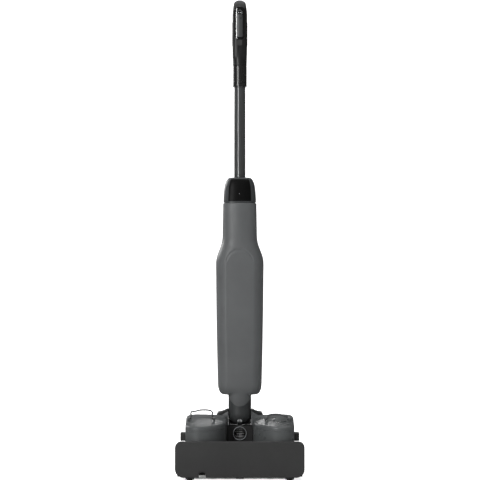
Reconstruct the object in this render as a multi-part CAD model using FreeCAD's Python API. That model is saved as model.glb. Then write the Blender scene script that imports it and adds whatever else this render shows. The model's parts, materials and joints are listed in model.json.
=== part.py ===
import FreeCAD, Part
import math
import os
from FreeCAD import Vector

# Cordless upright floor scrubber.  Millimetres, +Z up, the floor is z = 0, the front faces -Y,
# and x = 0, y = 0 is the middle of the head's footprint.

# Head footprint
HALF_DEPTH = 124.0
COVER_HALF_WIDTH = 150.4
COVER_LOW = 7.5
COVER_HIGH = 91.0
COVER_DEPTH = 11.5
COVER_WALL = 3.0
COVER_TOP_ROUND = 14.0
COVER_LOW_ROUND = 20.0
COVER_EDGE = 1.6
NOTCH_X = -87.0
NOTCH_HALF = 8.2
NOTCH_TALL = 9.0
NOTCH_BROW = 7.0
NOTCH_BROW_DEEP = 1.5
BUMP_HALF = 9.0
BUMP_DROP = 2.0
BUMP_ROUND = 3.0
GUIDE_TAB = 2.5
GUIDE_TAB_HALF = 4.5
GUIDE_SIDE_GAP = 0.5
GUIDE_RIM_GAP = 0.6

# Chassis
WALL = 3.0
FLOOR_Z = 9.0
CHASSIS_TOP = 69.0
CHASSIS_FRONT = -112.0
CHASSIS_REAR = 116.0
WING_HALF = 145.4
WING_REAR = 12.0
TUB_HALF = 124.0
REAR_CORNER = 18.0
CHAMBER_HALF = 131.0
CHAMBER_REAR = -44.0
BAY_WALL = 134.0
BAY_OUT = 143.0

# Mop roller, squeeze roller and drive
ROLLER_Y = -83.0
ROLLER_Z = 30.0
ROLLER_R = 30.0
CORE_R = 19.0
SLEEVE_HALF = 126.5
STUB_R = 6.0
RUN = 0.05
GAP = 0.4
SQUEEZE_R = 7.0
SQUEEZE_ANGLE = 35.0
SQUEEZE_STUB_R = 3.0
MOTOR_Y = -6.0
MOTOR_Z = 44.0
MOTOR_R = 17.0
MOTOR_SHAFT_R = 2.5
ROLLER_PULLEY_R = 14.0
MOTOR_PULLEY_R = 8.0
BELT_THICK = 1.8
BELT_GAP = 0.3
BELT_LOW_X = -140.5
BELT_WIDTH = 4.5

# Wheels and front guide rollers
WHEEL_X = 111.5
WHEEL_Y = 79.0
WHEEL_R = 28.0
WHEEL_Z = WHEEL_R
WHEEL_WIDE = 15.0
AXLE_R = 4.0
GUIDE_X = 116.0
GUIDE_Y = -115.0
GUIDE_Z = 7.0
GUIDE_R = 6.5
GUIDE_WIDE = 14.0
GUIDE_STUB_R = 2.0

# Deck and tanks
DECK_PLATE = 72.0
DECK_HALF = 127.0
DECK_FRONT = -110.0
HUMP_TOP = 92.0
HUMP_REAR = 121.0
TANK_BOTTOM = 72.4
TANK_OUT = 128.0
TANK_IN = 33.0
TANK_FRONT = -110.0
TANK_REAR = -3.0
TANK_TOP = 141.5
TANK_SLOPE = 9.5
TANK_WALL = 2.4
TANK_CORNER = 34.0
TANK_REAR_CORNER = 10.0
TANK_SWEEP_X = 92.0
TANK_SWEEP_BACK = 14.0
LID_DEEP = 11.0
LATCH_Y = -62.0
LATCH_Z = 97.5
LATCH_OUT = 139.6

# Yoke, neck and boot
PIVOT_Y = 15.0
PIVOT_Z = 146.0
BALL_R = 27.3
NECK_WALL = 4.5
NECK_TOP = 232.0
TILT_PIN_R = 5.0
CHEEK_IN = 28.2
CHEEK_OUT = 56.0
PORT_Z = 101.0
PORT_R = 16.5
WINDOW_R = 12.2
BOOT_R = 11.0

# Upper body: a slim column that widens a little upwards, then steps in through a soft shoulder
BODY_LOW = 191.5
BODY_HIGH = 649.0
FOOT_ROUND = 23.0
FOOT_PULL = 11.5
SHOULDER_LOW = 505.0
SHOULDER_HIGH = 569.0
FOOT_HALF_WIDTH = 51.8
FOOT_HALF_DEPTH = 38.4
CHEST_HALF_WIDTH = 57.2
SIDE_BOW = 0.85
CHEST_HALF_DEPTH = 41.4
WAIST_HALF_WIDTH = 41.4
WAIST_HALF_DEPTH = 34.0
TOP_HALF_WIDTH = 40.0
TOP_HALF_DEPTH = 33.0
SECTION_STEP = 16.0
CAP_SECTIONS = (
    (652.0, 39.2, 32.6),
    (668.0, 38.5, 32.2),
    (682.0, 37.5, 31.4),
    (690.0, 36.4, 30.6),
    (697.0, 34.6, 29.3),
    (704.0, 32.2, 27.4),
    (710.5, 28.4, 23.8),
)
BODY_WALL = 2.6
BODY_ROUND = 2.7
TUBE_R = 13.4
TUBE_WALL = 1.3
TUBE_LOW = 600.0
TUBE_HIGH = 1000.0

# Handle loop
COLLAR_LOW = 929.5
COLLAR_HIGH = 980.0
COLLAR_R = 16.7
LOOP_LOW = 980.5
LOOP_HIGH = 1141.0
LOOP_FRONT = -1.2
LOOP_REAR = 87.0
LOOP_HALF = 17.7
LOOP_EDGE = 9.5


def box(x0, x1, y0, y1, z0, z1):
    return Part.makeBox(x1 - x0, y1 - y0, z1 - z0, Vector(x0, y0, z0))


def rod_x(radius, x0, x1, y, z):
    return Part.makeCylinder(radius, x1 - x0, Vector(x0, y, z), Vector(1, 0, 0))


def rod_y(radius, y0, y1, x, z):
    return Part.makeCylinder(radius, y1 - y0, Vector(x, y0, z), Vector(0, 1, 0))


def rod_z(radius, z0, z1, x, y):
    return Part.makeCylinder(radius, z1 - z0, Vector(x, y, z0), Vector(0, 0, 1))


def mirror_x(shape):
    return shape.mirror(Vector(0, 0, 0), Vector(1, 0, 0))


def fuse_all(shapes):
    whole = shapes[0]
    for piece in shapes[1:]:
        whole = whole.fuse(piece)
    return whole.removeSplitter()


def cut_all(shape, tools):
    for tool in tools:
        shape = shape.cut(tool)
    return shape


def round_edges(shape, radius, wanted):
    """Round the edges whose middle point passes the test, and leave the rest sharp."""
    chosen = [e for e in shape.Edges if wanted(e.valueAt((e.FirstParameter + e.LastParameter) / 2))]
    return shape.makeFillet(radius, chosen)


def prism(points, start, direction):
    """A solid swept from a flat outline.  Each entry is a corner, or a pair of corners that an arc links."""
    edges = []
    here = points[-1][-1] if isinstance(points[-1], tuple) else points[-1]
    for entry in points:
        if isinstance(entry, tuple):
            edges.append(Part.Arc(here, entry[0], entry[1]).toShape())
            here = entry[1]
        elif (entry - here).Length > 0.001:
            edges.append(Part.LineSegment(here, entry).toShape())
            here = entry
    face = Part.Face(Part.Wire(edges))
    face.translate(start)
    return face.extrude(direction)


def rounded_bar_y(x0, x1, z0, z1, y0, y1, radius):
    """A bar along Y whose four long edges are rounded."""
    bar = box(x0, x1, y0, y1, z0, z1)
    middle = (y0 + y1) / 2
    return round_edges(bar, radius, lambda p: abs(p.y - middle) < 0.01)


def rounded_bar_z(x0, x1, y0, y1, z0, z1, radius):
    bar = box(x0, x1, y0, y1, z0, z1)
    middle = (z0 + z1) / 2
    return round_edges(bar, radius, lambda p: abs(p.z - middle) < 0.01)


def oval_wire(half_wide, half_deep, z, roundness, centre_y):
    """A closed smooth oval, squarer than an ellipse, at one height."""
    count = 32
    points = []
    for i in range(count):
        angle = 2 * math.pi * i / count
        c = math.cos(angle)
        s = math.sin(angle)
        x = half_wide * math.copysign(abs(c) ** (2 / roundness), c)
        y = half_deep * math.copysign(abs(s) ** (2 / roundness), s)
        points.append(Vector(x, centre_y + y, z))
    curve = Part.BSplineCurve()
    curve.interpolate(points, PeriodicFlag=True)
    return Part.Wire([curve.toShape()])


def blend(low, high, share):
    return low + (high - low) * share


def body_section(z):
    """Half width and half depth of the upper body at one height."""
    if z < SHOULDER_LOW:
        share = (z - BODY_LOW) / (SHOULDER_LOW - BODY_LOW)
        wide = blend(FOOT_HALF_WIDTH, CHEST_HALF_WIDTH, share) + SIDE_BOW * math.sin(math.pi * share)
        deep = blend(FOOT_HALF_DEPTH, CHEST_HALF_DEPTH, share)
    elif z < SHOULDER_HIGH:
        share = (1 - math.cos(math.pi * (z - SHOULDER_LOW) / (SHOULDER_HIGH - SHOULDER_LOW))) / 2
        wide = blend(CHEST_HALF_WIDTH, WAIST_HALF_WIDTH, share)
        deep = blend(CHEST_HALF_DEPTH, WAIST_HALF_DEPTH, share)
    else:
        share = (z - SHOULDER_HIGH) / (BODY_HIGH - SHOULDER_HIGH)
        wide = blend(WAIST_HALF_WIDTH, TOP_HALF_WIDTH, share)
        deep = blend(WAIST_HALF_DEPTH, TOP_HALF_DEPTH, share)
    short = max(0.0, 1 - (z - BODY_LOW) / FOOT_ROUND)
    pull = FOOT_PULL * (1 - math.sqrt(1 - short ** 2))
    return wide - pull, deep - 0.6 * pull


def body_sections():
    heights = [BODY_LOW, BODY_LOW + 2, BODY_LOW + 6, BODY_LOW + 13]
    count = round((BODY_HIGH - BODY_LOW - FOOT_ROUND) / SECTION_STEP)
    for i in range(count + 1):
        heights.append(blend(BODY_LOW + FOOT_ROUND, BODY_HIGH, i / count))
    return [(z,) + body_section(z) for z in heights]


def oval_loft(sections, inset=0.0, low=None, high=None):
    """A smooth solid through oval sections, pulled in by inset and cut to a range of heights."""
    wires = [oval_wire(a - inset, b - inset, z, BODY_ROUND, PIVOT_Y) for z, a, b in sections]
    solid = Part.makeLoft(wires, True, False)
    reach = 4 * COVER_HALF_WIDTH
    if low is not None:
        solid = solid.cut(box(-reach, reach, -reach, reach, 0, low))
    if high is not None:
        solid = solid.cut(box(-reach, reach, -reach, reach, high, 2 * LOOP_HIGH))
    return solid


# ---------------------------------------------------------------- head: fixed pieces

def head_plan(half, front, rear, z0, z1):
    """A block with rounded rear corners, the plan shape of the tub and of the deck."""
    block = box(-half, half, front, rear, z0, z1)
    middle = (z0 + z1) / 2
    return round_edges(block, REAR_CORNER, lambda p: abs(p.z - middle) < 0.01 and p.y > rear - 1)


def squeeze_centre():
    reach = ROLLER_R + SQUEEZE_R + GAP
    angle = math.radians(SQUEEZE_ANGLE)
    return ROLLER_Y + reach * math.cos(angle), ROLLER_Z + reach * math.sin(angle)


def screw_places():
    rows = ((-34.0, 118.0), (24.0, 60.0), (64.0, 60.0), (106.0, 60.0))
    return [(side * x, y) for y, x in rows for side in (-1, 1)]


def chassis():
    """Lower tub: open roller chamber in front, belt bay on the left, motor tub behind, two wheel wells."""
    wings = box(-WING_HALF, WING_HALF, CHASSIS_FRONT, WING_REAR, FLOOR_Z, CHASSIS_TOP)
    wings = round_edges(wings, 6.0, lambda p: abs(p.x) > WING_HALF - 1 and p.y > WING_REAR - 1)
    body = wings.fuse(head_plan(TUB_HALF, WING_REAR - 40, CHASSIS_REAR, FLOOR_Z, CHASSIS_TOP))
    roof = CHASSIS_TOP - WALL
    inside = FLOOR_Z + WALL
    tools = [
        box(-CHAMBER_HALF, CHAMBER_HALF, CHASSIS_FRONT - 5, CHAMBER_REAR, 0, roof),
        box(-WING_HALF - 1, -BAY_WALL, CHASSIS_FRONT + WALL, WING_REAR - WALL, inside, roof),
        box(BAY_WALL, BAY_OUT, CHASSIS_FRONT + WALL, WING_REAR - WALL, 0, roof),
        box(-CHAMBER_HALF, CHAMBER_HALF, CHAMBER_REAR + WALL, WING_REAR - WALL, inside, CHASSIS_TOP + 1),
        head_plan(TUB_HALF - WALL, 0, CHASSIS_REAR - WALL, inside, CHASSIS_TOP + 1),
    ]
    body = cut_all(body, tools)
    low_x = WHEEL_X - WHEEL_WIDE / 2 - 1.5
    high_x = TUB_HALF - WALL
    front = WHEEL_Y - WHEEL_R - 2
    rear = WHEEL_Y + WHEEL_R + 2
    well = box(low_x - 2, high_x + 1, front - 2, rear + 2, FLOOR_Z, WHEEL_Z + WHEEL_R + 4)
    hollow = box(low_x, high_x, front, rear, 0, WHEEL_Z + WHEEL_R + 2)
    plan = head_plan(TUB_HALF, 0, CHASSIS_REAR, FLOOR_Z, CHASSIS_TOP)
    for flip in (False, True):
        add = mirror_x(well) if flip else well
        take = mirror_x(hollow) if flip else hollow
        body = body.fuse(add.common(plan)).cut(take)
    holes = [rod_x(STUB_R + RUN, -BAY_WALL - 1, BAY_WALL + 1, ROLLER_Y, ROLLER_Z)]
    y, z = squeeze_centre()
    holes.append(rod_x(SQUEEZE_STUB_R + RUN, -BAY_WALL - 1, BAY_WALL + 1, y, z))
    holes.append(rod_x(MOTOR_SHAFT_R + 1, -BAY_WALL - 1, -CHAMBER_HALF + 1, MOTOR_Y, MOTOR_Z))
    for side in (-1, 1):
        ends = sorted((side * (low_x - 2.0), side * (TUB_HALF + 1)))
        holes.append(rod_x(AXLE_R, ends[0], ends[1], WHEEL_Y, WHEEL_Z))
    for x, y in screw_places():
        holes.append(rod_z(4.0, 0, FLOOR_Z + 1.5, x, y))
        holes.append(rod_z(1.6, 0, inside + 1, x, y))
    return cut_all(body, holes).removeSplitter()


def deck():
    """Upper housing: flat tray under the tanks, hollow hump behind them, and two tank spigots."""
    tray = box(-DECK_HALF, DECK_HALF, DECK_FRONT, 2, CHASSIS_TOP, DECK_PLATE)
    hump = head_plan(DECK_HALF, 0, HUMP_REAR, CHASSIS_TOP, HUMP_TOP)
    hump = round_edges(hump, 9.0, lambda p: p.z > HUMP_TOP - 0.1 and p.y > 0.5)
    hollow = head_plan(DECK_HALF - WALL, WALL, HUMP_REAR - WALL, CHASSIS_TOP - 1, HUMP_TOP - 9)
    upper = head_plan(DECK_HALF - 10, WALL, HUMP_REAR - 10, CHASSIS_TOP - 1, HUMP_TOP - WALL)
    body = tray.fuse(hump.cut(hollow).cut(upper))
    notch = box(-26.2, 26.2, -1, 24, DECK_PLATE, HUMP_TOP + 1)
    floor = box(-29, 29, 0, 27, CHASSIS_TOP, DECK_PLATE)
    guard = box(-29, 29, 0, 27, CHASSIS_TOP, HUMP_TOP - 1)
    body = body.fuse(guard).cut(notch).fuse(floor)
    for side in (-1, 1):
        body = body.fuse(rod_z(8.0, DECK_PLATE - 1, DECK_PLATE + 5, side * 84.0, -40.0))
    return body.removeSplitter()


def cheek():
    """One ear beside the neck, highest at its inner edge, with the pivot pin's hole."""
    outline = [
        Vector(CHEEK_IN, 0, HUMP_TOP),
        Vector(CHEEK_OUT + 4, 0, HUMP_TOP),
        Vector(CHEEK_OUT + 1, 0, 136.0),
        (Vector(53.6, 0, 145.5), Vector(46.0, 0, 150.0)),
        Vector(36.0, 0, 153.6),
        (Vector(31.0, 0, 156.2), Vector(CHEEK_IN, 0, 157.2)),
    ]
    ear = prism(outline, Vector(0, 3, 0), Vector(0, 27, 0))
    return round_edges(ear, 4.0, lambda p: p.z > 100 and p.x > 29 and (p.y < 3.1 or p.y > 29.9))


def yoke_bracket():
    base = rounded_bar_z(-62, 62, 3, 38, HUMP_TOP, HUMP_TOP + 4, 5.0)
    web = box(-30, 30, -22, -16, DECK_PLATE, 119)
    right = cheek()
    pieces = [base, right, mirror_x(right), web]
    for side in (-1, 1):
        ends = sorted((side * 26.4, side * 30.0))
        pieces.append(box(ends[0], ends[1], -22, -0.2, DECK_PLATE, 119))
        pieces.append(box(ends[0], ends[1], -0.2, 6, HUMP_TOP, 119))
    body = fuse_all(pieces)
    body = body.cut(rod_y(WINDOW_R, -30, -10, 0, PORT_Z))
    body = body.cut(box(-CHEEK_IN, CHEEK_IN, 2, 60, HUMP_TOP + 4, 200))
    body = body.cut(box(-26.2, 26.2, 2, 24, HUMP_TOP - 1, 200))
    return body.cut(rod_x(TILT_PIN_R, -53, 53, PIVOT_Y, PIVOT_Z)).removeSplitter()


def tilt_pin():
    return rod_x(TILT_PIN_R, -53, 53, PIVOT_Y, PIVOT_Z)


def port_ring():
    ring = rod_y(PORT_R, -26, -22, 0, PORT_Z).cut(rod_y(WINDOW_R, -30, -10, 0, PORT_Z))
    return round_edges(ring, 1.2, lambda p: p.y < -25.9)


def corrugated_boot():
    """Ribbed sleeve for the cables, its top hollowed to follow the neck's ball."""
    ribs = 8
    low = DECK_PLATE
    pitch = 5.6
    body = rod_z(BOOT_R - 2.0, low, low + ribs * pitch + 2.0, 0, 0)
    for i in range(ribs):
        z = low + 2.0 + i * pitch
        rib = rod_z(BOOT_R, z, z + 3.2, 0, 0)
        body = body.fuse(rib.makeFillet(1.2, [e for e in rib.Edges if e.Length > 3 * BOOT_R]))
    body = body.cut(rod_z(BOOT_R - 4.0, low - 1, 200, 0, 0))
    return body.cut(Part.makeSphere(BALL_R + 0.6, Vector(0, PIVOT_Y, PIVOT_Z))).removeSplitter()


def drive_motor():
    can = rod_x(MOTOR_R, -118, -50, MOTOR_Y, MOTOR_Z)
    gearbox = rod_x(MOTOR_R - 3, -128, -118, MOTOR_Y, MOTOR_Z)
    rear = rod_x(6.0, -50, -44, MOTOR_Y, MOTOR_Z)
    saddle = box(-110, -60, MOTOR_Y - 12, MOTOR_Y + 12, FLOOR_Z + WALL, MOTOR_Z)
    body = fuse_all([saddle, can, gearbox, rear])
    return body.cut(rod_x(MOTOR_SHAFT_R + RUN, -130, -108, MOTOR_Y, MOTOR_Z))


def water_pump():
    case = rounded_bar_z(46, 92, -26, 4, FLOOR_Z + WALL, 44, 4.0)
    head = rod_x(12.0, 92, 106, -11, 30)
    inlet = rod_z(3.5, 40, 60, 60, -11)
    outlet = rod_y(3.5, -38, -24, 80, 36)
    return fuse_all([case, head, inlet, outlet])


def belt_loop(extra, x0, x1):
    """The outline round both pulleys at a set distance from them, as a solid slab."""
    dy = MOTOR_Y - ROLLER_Y
    dz = MOTOR_Z - ROLLER_Z
    span = math.hypot(dy, dz)
    lean = math.atan2(dz, dy)
    open_angle = math.acos((ROLLER_PULLEY_R - MOTOR_PULLEY_R) / span)

    def rim(y, z, radius, angle):
        return Vector(x0, y + radius * math.cos(angle), z + radius * math.sin(angle))

    big = ROLLER_PULLEY_R + extra
    small = MOTOR_PULLEY_R + extra
    up = lean + open_angle
    down = lean - open_angle
    outline = [
        rim(MOTOR_Y, MOTOR_Z, small, down),
        (rim(MOTOR_Y, MOTOR_Z, small, lean), rim(MOTOR_Y, MOTOR_Z, small, up)),
        rim(ROLLER_Y, ROLLER_Z, big, up),
        (rim(ROLLER_Y, ROLLER_Z, big, lean + math.pi), rim(ROLLER_Y, ROLLER_Z, big, down)),
    ]
    return prism(outline, Vector(0, 0, 0), Vector(x1 - x0, 0, 0))


def drive_belt():
    high = BELT_LOW_X + BELT_WIDTH
    return belt_loop(BELT_GAP + BELT_THICK, BELT_LOW_X, high).cut(belt_loop(BELT_GAP, BELT_LOW_X, high))


def belt_cover():
    plate = box(-WING_HALF, -BAY_OUT, CHASSIS_FRONT + WALL, WING_REAR - WALL, FLOOR_Z + WALL, CHASSIS_TOP - WALL)
    plate = round_edges(plate, 2.0, lambda p: abs(p.x + (WING_HALF + BAY_OUT) / 2) < 0.1)
    ring = rod_x(12.0, -BAY_OUT - 1, -BAY_OUT + 1.2, ROLLER_Y, ROLLER_Z)
    return plate.fuse(ring).cut(rod_x(9.0, -BAY_OUT - 0.1, -BAY_OUT + 3, ROLLER_Y, ROLLER_Z)).removeSplitter()


def scraper_holder():
    return box(-126, 126, -50, CHAMBER_REAR, 13, 23).cut(box(-130, 130, -51, -46, 17, 19))


def scraper_blade():
    return box(-126, 126, -54.6, -46, 17, 19)


def spray_bar():
    bar = rounded_bar_z(-110, 110, -72, -62, 60, CHASSIS_TOP - WALL, 3.0)
    for i in range(6):
        x = -95.0 + 38.0 * i
        bar = bar.fuse(Part.makeCone(1.2, 2.6, 3.0, Vector(x, -66, 57.2), Vector(0, 0, 1)))
    return bar.removeSplitter()


def wheel_axles():
    low = WHEEL_X - WHEEL_WIDE / 2 - 3.5
    right = rod_x(AXLE_R, low, TUB_HALF, WHEEL_Y, WHEEL_Z)
    return Part.makeCompound([mirror_x(right), right])


def head_screws():
    screws = []
    for x, y in screw_places():
        head = rod_z(3.6, FLOOR_Z + 0.3, FLOOR_Z + 1.5, x, y)
        head = head.cut(box(x - 2.4, x + 2.4, y - 0.5, y + 0.5, FLOOR_Z, FLOOR_Z + 0.9))
        screws.append(head.fuse(rod_z(1.6, FLOOR_Z + 1.5, FLOOR_Z + 8, x, y)).removeSplitter())
    return Part.makeCompound(screws)


def rear_bumper():
    strip = box(-92, 92, HUMP_REAR, HALF_DEPTH, 73, 82)
    return round_edges(strip, 2.4, lambda p: p.y > HALF_DEPTH - 0.1)


# ---------------------------------------------------------------- head: moving pieces

def cover_outline(inset):
    """Front view of the cover: tall rounded upper corners and rounder lower ones."""
    half = COVER_HALF_WIDTH - inset
    low = COVER_LOW + inset
    high = COVER_HIGH - inset
    top = COVER_TOP_ROUND
    bottom = COVER_LOW_ROUND
    diagonal = 1 - math.sqrt(0.5)
    return [
        Vector(-half + bottom, 0, low),
        Vector(half - bottom, 0, low),
        (Vector(half - bottom * diagonal, 0, low + bottom * diagonal), Vector(half, 0, low + bottom)),
        Vector(half, 0, high - top),
        (Vector(half - top * diagonal, 0, high - top * diagonal), Vector(half - top, 0, high)),
        Vector(-half + top, 0, high),
        (Vector(-half + top * diagonal, 0, high - top * diagonal), Vector(-half, 0, high - top)),
        Vector(-half, 0, low + bottom),
        (Vector(-half + bottom * diagonal, 0, low + bottom * diagonal), Vector(-half + bottom, 0, low)),
    ]


def cover_notch(front):
    """Square notch through the lower edge, with a shallow arched brow above it in the face."""
    x0 = NOTCH_X - NOTCH_HALF
    x1 = NOTCH_X + NOTCH_HALF
    top = COVER_LOW + NOTCH_TALL
    notch = box(x0, x1, front - 1, front + COVER_DEPTH + 1, 0, top)
    brow = rod_y(NOTCH_HALF, front - 1, front + NOTCH_BROW_DEEP, NOTCH_X, top)
    return notch.fuse(brow.common(box(x0, x1, front - 1, front + NOTCH_BROW_DEEP, 0, top + NOTCH_BROW)))


def front_cover():
    front = -HALF_DEPTH
    shell = prism(cover_outline(0), Vector(0, front, 0), Vector(0, COVER_DEPTH, 0))
    shell = round_edges(shell, COVER_EDGE, lambda p: p.y < front + 0.01)
    hollow = prism(cover_outline(COVER_WALL), Vector(0, front + COVER_WALL, 0), Vector(0, COVER_DEPTH, 0))
    shell = shell.cut(hollow).cut(cover_notch(front))
    bump_low = COVER_LOW - BUMP_DROP
    bump_rear = front + COVER_DEPTH - 0.5
    shell = shell.fuse(rounded_bar_z(-BUMP_HALF, BUMP_HALF, front + 1, bump_rear, bump_low, COVER_LOW + 1, BUMP_ROUND))
    for side in (-1, 1):
        for offset in (-GUIDE_WIDE / 2 - GUIDE_SIDE_GAP - GUIDE_TAB, GUIDE_WIDE / 2 + GUIDE_SIDE_GAP):
            x0 = side * GUIDE_X + offset
            shell = shell.fuse(guide_tab(x0, x0 + GUIDE_TAB))
        shell = shell.cut(rod_x(GUIDE_STUB_R + RUN, side * GUIDE_X - 10, side * GUIDE_X + 10, GUIDE_Y, GUIDE_Z))
        shell = shell.cut(guide_space(side))
    return shell.removeSplitter()


def guide_space(side):
    half = GUIDE_WIDE / 2 + GUIDE_SIDE_GAP
    return rod_x(GUIDE_R + GUIDE_RIM_GAP, side * GUIDE_X - half, side * GUIDE_X + half, GUIDE_Y, GUIDE_Z)


def guide_tab(x0, x1):
    """A small plate behind the cover's lower edge that holds one end of a guide roller."""
    half = GUIDE_TAB_HALF
    plate = box(x0, x1, GUIDE_Y - half, GUIDE_Y + half, GUIDE_Z, COVER_LOW + COVER_WALL + 3)
    return plate.fuse(rod_x(half, x0, x1, GUIDE_Y, GUIDE_Z))


def guide_roller(side):
    half = GUIDE_WIDE / 2
    x = side * GUIDE_X
    wheel = rod_x(GUIDE_R, x - half, x + half, GUIDE_Y, GUIDE_Z)
    wheel = wheel.makeFillet(1.2, [e for e in wheel.Edges if e.Length > 3 * GUIDE_R])
    stub = rod_x(GUIDE_STUB_R, x - half - 2.8, x + half + 2.8, GUIDE_Y, GUIDE_Z)
    return wheel.fuse(stub).removeSplitter()


def roller_core():
    tube = rod_x(CORE_R, -SLEEVE_HALF, SLEEVE_HALF, ROLLER_Y, ROLLER_Z)
    tube = tube.cut(rod_x(CORE_R - 4, -SLEEVE_HALF + 4, SLEEVE_HALF - 4, ROLLER_Y, ROLLER_Z))
    stub = rod_x(STUB_R, -141.5, 141.5, ROLLER_Y, ROLLER_Z)
    return tube.fuse(stub).removeSplitter()


def roller_sleeve():
    sleeve = rod_x(ROLLER_R, -SLEEVE_HALF, SLEEVE_HALF, ROLLER_Y, ROLLER_Z)
    sleeve = sleeve.makeFillet(3.0, [e for e in sleeve.Edges if e.Length > 3 * ROLLER_R])
    return sleeve.cut(rod_x(CORE_R, -SLEEVE_HALF - 1, SLEEVE_HALF + 1, ROLLER_Y, ROLLER_Z))


def roller_end_caps():
    cap = rod_x(25.0, SLEEVE_HALF, SLEEVE_HALF + 3, ROLLER_Y, ROLLER_Z)
    cap = cap.makeFillet(1.0, [e for e in cap.Edges if e.Length > 100 and e.BoundBox.XMax > SLEEVE_HALF + 2])
    cap = cap.cut(rod_x(STUB_R, 0, 150, ROLLER_Y, ROLLER_Z))
    for i in range(6):
        angle = math.radians(60 * i)
        y = ROLLER_Y + 16 * math.cos(angle)
        z = ROLLER_Z + 16 * math.sin(angle)
        cap = cap.cut(rod_x(4.0, SLEEVE_HALF + 1.4, SLEEVE_HALF + 4, y, z))
    return Part.makeCompound([mirror_x(cap), cap])


def pulley(radius, bore, y, z):
    """A belt pulley with a thin flange each side of the belt."""
    low = BELT_LOW_X - 0.5
    high = BELT_LOW_X + BELT_WIDTH + 0.5
    wheel = rod_x(radius, low, high, y, z)
    wheel = wheel.fuse(rod_x(radius + 1.4, low - 0.8, low + 0.2, y, z))
    wheel = wheel.fuse(rod_x(radius + 1.4, high - 0.2, high + 0.6, y, z))
    if bore:
        wheel = wheel.cut(rod_x(bore, low - 2, high + 2, y, z))
    return wheel.removeSplitter()


def roller_pulley():
    return pulley(ROLLER_PULLEY_R, STUB_R, ROLLER_Y, ROLLER_Z)


def motor_pulley():
    shaft = rod_x(MOTOR_SHAFT_R, BELT_LOW_X, -109, MOTOR_Y, MOTOR_Z)
    return pulley(MOTOR_PULLEY_R, 0, MOTOR_Y, MOTOR_Z).fuse(shaft).removeSplitter()


def squeeze_roller():
    y, z = squeeze_centre()
    barrel = rod_x(SQUEEZE_R, -129, 129, y, z)
    return barrel.fuse(rod_x(SQUEEZE_STUB_R, -BAY_WALL, BAY_WALL, y, z)).removeSplitter()


def wheel_hub():
    half = WHEEL_WIDE / 2
    hub = rod_x(WHEEL_R - 6, WHEEL_X - half + 1, WHEEL_X + half - 1, WHEEL_Y, WHEEL_Z)
    for side in (-1, 1):
        dish = rod_x(WHEEL_R - 9, WHEEL_X + side * half - 3.5, WHEEL_X + side * half + 3.5, WHEEL_Y, WHEEL_Z)
        hub = hub.cut(dish)
    hub = hub.fuse(rod_x(8.0, WHEEL_X - half, WHEEL_X + half, WHEEL_Y, WHEEL_Z))
    for i in range(6):
        angle = math.radians(60 * i)
        spoke = box(WHEEL_X - half + 1, WHEEL_X + half - 1, WHEEL_Y, WHEEL_Y + WHEEL_R - 8, WHEEL_Z - 1.2, WHEEL_Z + 1.2)
        spoke.rotate(Vector(0, WHEEL_Y, WHEEL_Z), Vector(1, 0, 0), math.degrees(angle))
        hub = hub.fuse(spoke)
    return hub.cut(rod_x(AXLE_R + RUN, 0, 200, WHEEL_Y, WHEEL_Z)).removeSplitter()


def wheel_tyre():
    half = WHEEL_WIDE / 2
    tyre = rod_x(WHEEL_R, WHEEL_X - half, WHEEL_X + half, WHEEL_Y, WHEEL_Z)
    tyre = tyre.makeFillet(2.5, [e for e in tyre.Edges if e.Length > 3 * WHEEL_R])
    return tyre.cut(rod_x(WHEEL_R - 6, 0, 200, WHEEL_Y, WHEEL_Z))


# ---------------------------------------------------------------- tanks (modelled on the right side, x > 0)

def tank_outline(inset):
    """Plan of a tank: straight outside and back, the inner front corner a long sweep beside the neck."""
    outer = TANK_OUT - inset
    inner = TANK_IN + inset
    front = TANK_FRONT + inset
    rear = TANK_REAR - inset
    corner = TANK_CORNER - inset
    back = TANK_REAR_CORNER - inset
    diagonal = 1 - math.sqrt(0.5)
    sweep_x = TANK_SWEEP_X
    sweep_y = rear - TANK_SWEEP_BACK
    bend = Vector(inner + (sweep_x - inner) * 0.24, front + (sweep_y - front) * 0.30, 0)
    return [
        Vector(sweep_x, front, 0),
        Vector(outer - corner, front, 0),
        (Vector(outer - corner * diagonal, front + corner * diagonal, 0), Vector(outer, front + corner, 0)),
        Vector(outer, rear - back, 0),
        (Vector(outer - back * diagonal, rear - back * diagonal, 0), Vector(outer - back, rear, 0)),
        Vector(inner, rear, 0),
        Vector(inner, sweep_y, 0),
        (bend, Vector(sweep_x, front, 0)),
    ]


def tank_block(inset, z0, drop):
    """The tank's plan raised to its sloping top, whose surface is lowered by drop."""
    tall = prism(tank_outline(inset), Vector(0, 0, z0), Vector(0, 0, 100))
    above = box(0, 200, -200, 50, TANK_TOP - drop, 300)
    above.rotate(Vector(0, TANK_REAR, TANK_TOP - drop), Vector(1, 0, 0), TANK_SLOPE)
    return tall.cut(above)


def on_slope(shape):
    """Move a shape built about the top's rear edge (y = 0, z = 0) onto the sloping top."""
    shape = shape.copy()
    shape.rotate(Vector(0, 0, 0), Vector(1, 0, 0), TANK_SLOPE)
    shape.translate(Vector(0, TANK_REAR, TANK_TOP))
    return shape


def tank_shell():
    """Open tub with a recess for the deck's spigot and a closed pocket for the side latch."""
    body = tank_block(0, TANK_BOTTOM, LID_DEEP)
    cavity = tank_block(TANK_WALL, TANK_BOTTOM + TANK_WALL, LID_DEEP - 5)
    cavity = cavity.cut(rod_z(11.0, 0, TANK_BOTTOM + 10, 84.0, -40.0))
    cavity = cavity.cut(box(112.5, 140, LATCH_Y - 16, LATCH_Y + 16, LATCH_Z - 14, LATCH_Z + 14))
    body = body.cut(cavity)
    body = body.cut(rod_z(8.4, 0, TANK_BOTTOM + 6.5, 84.0, -40.0))
    pocket = rounded_pocket(0.4, 115.0, 140.0)
    return body.cut(pocket).removeSplitter()


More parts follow.
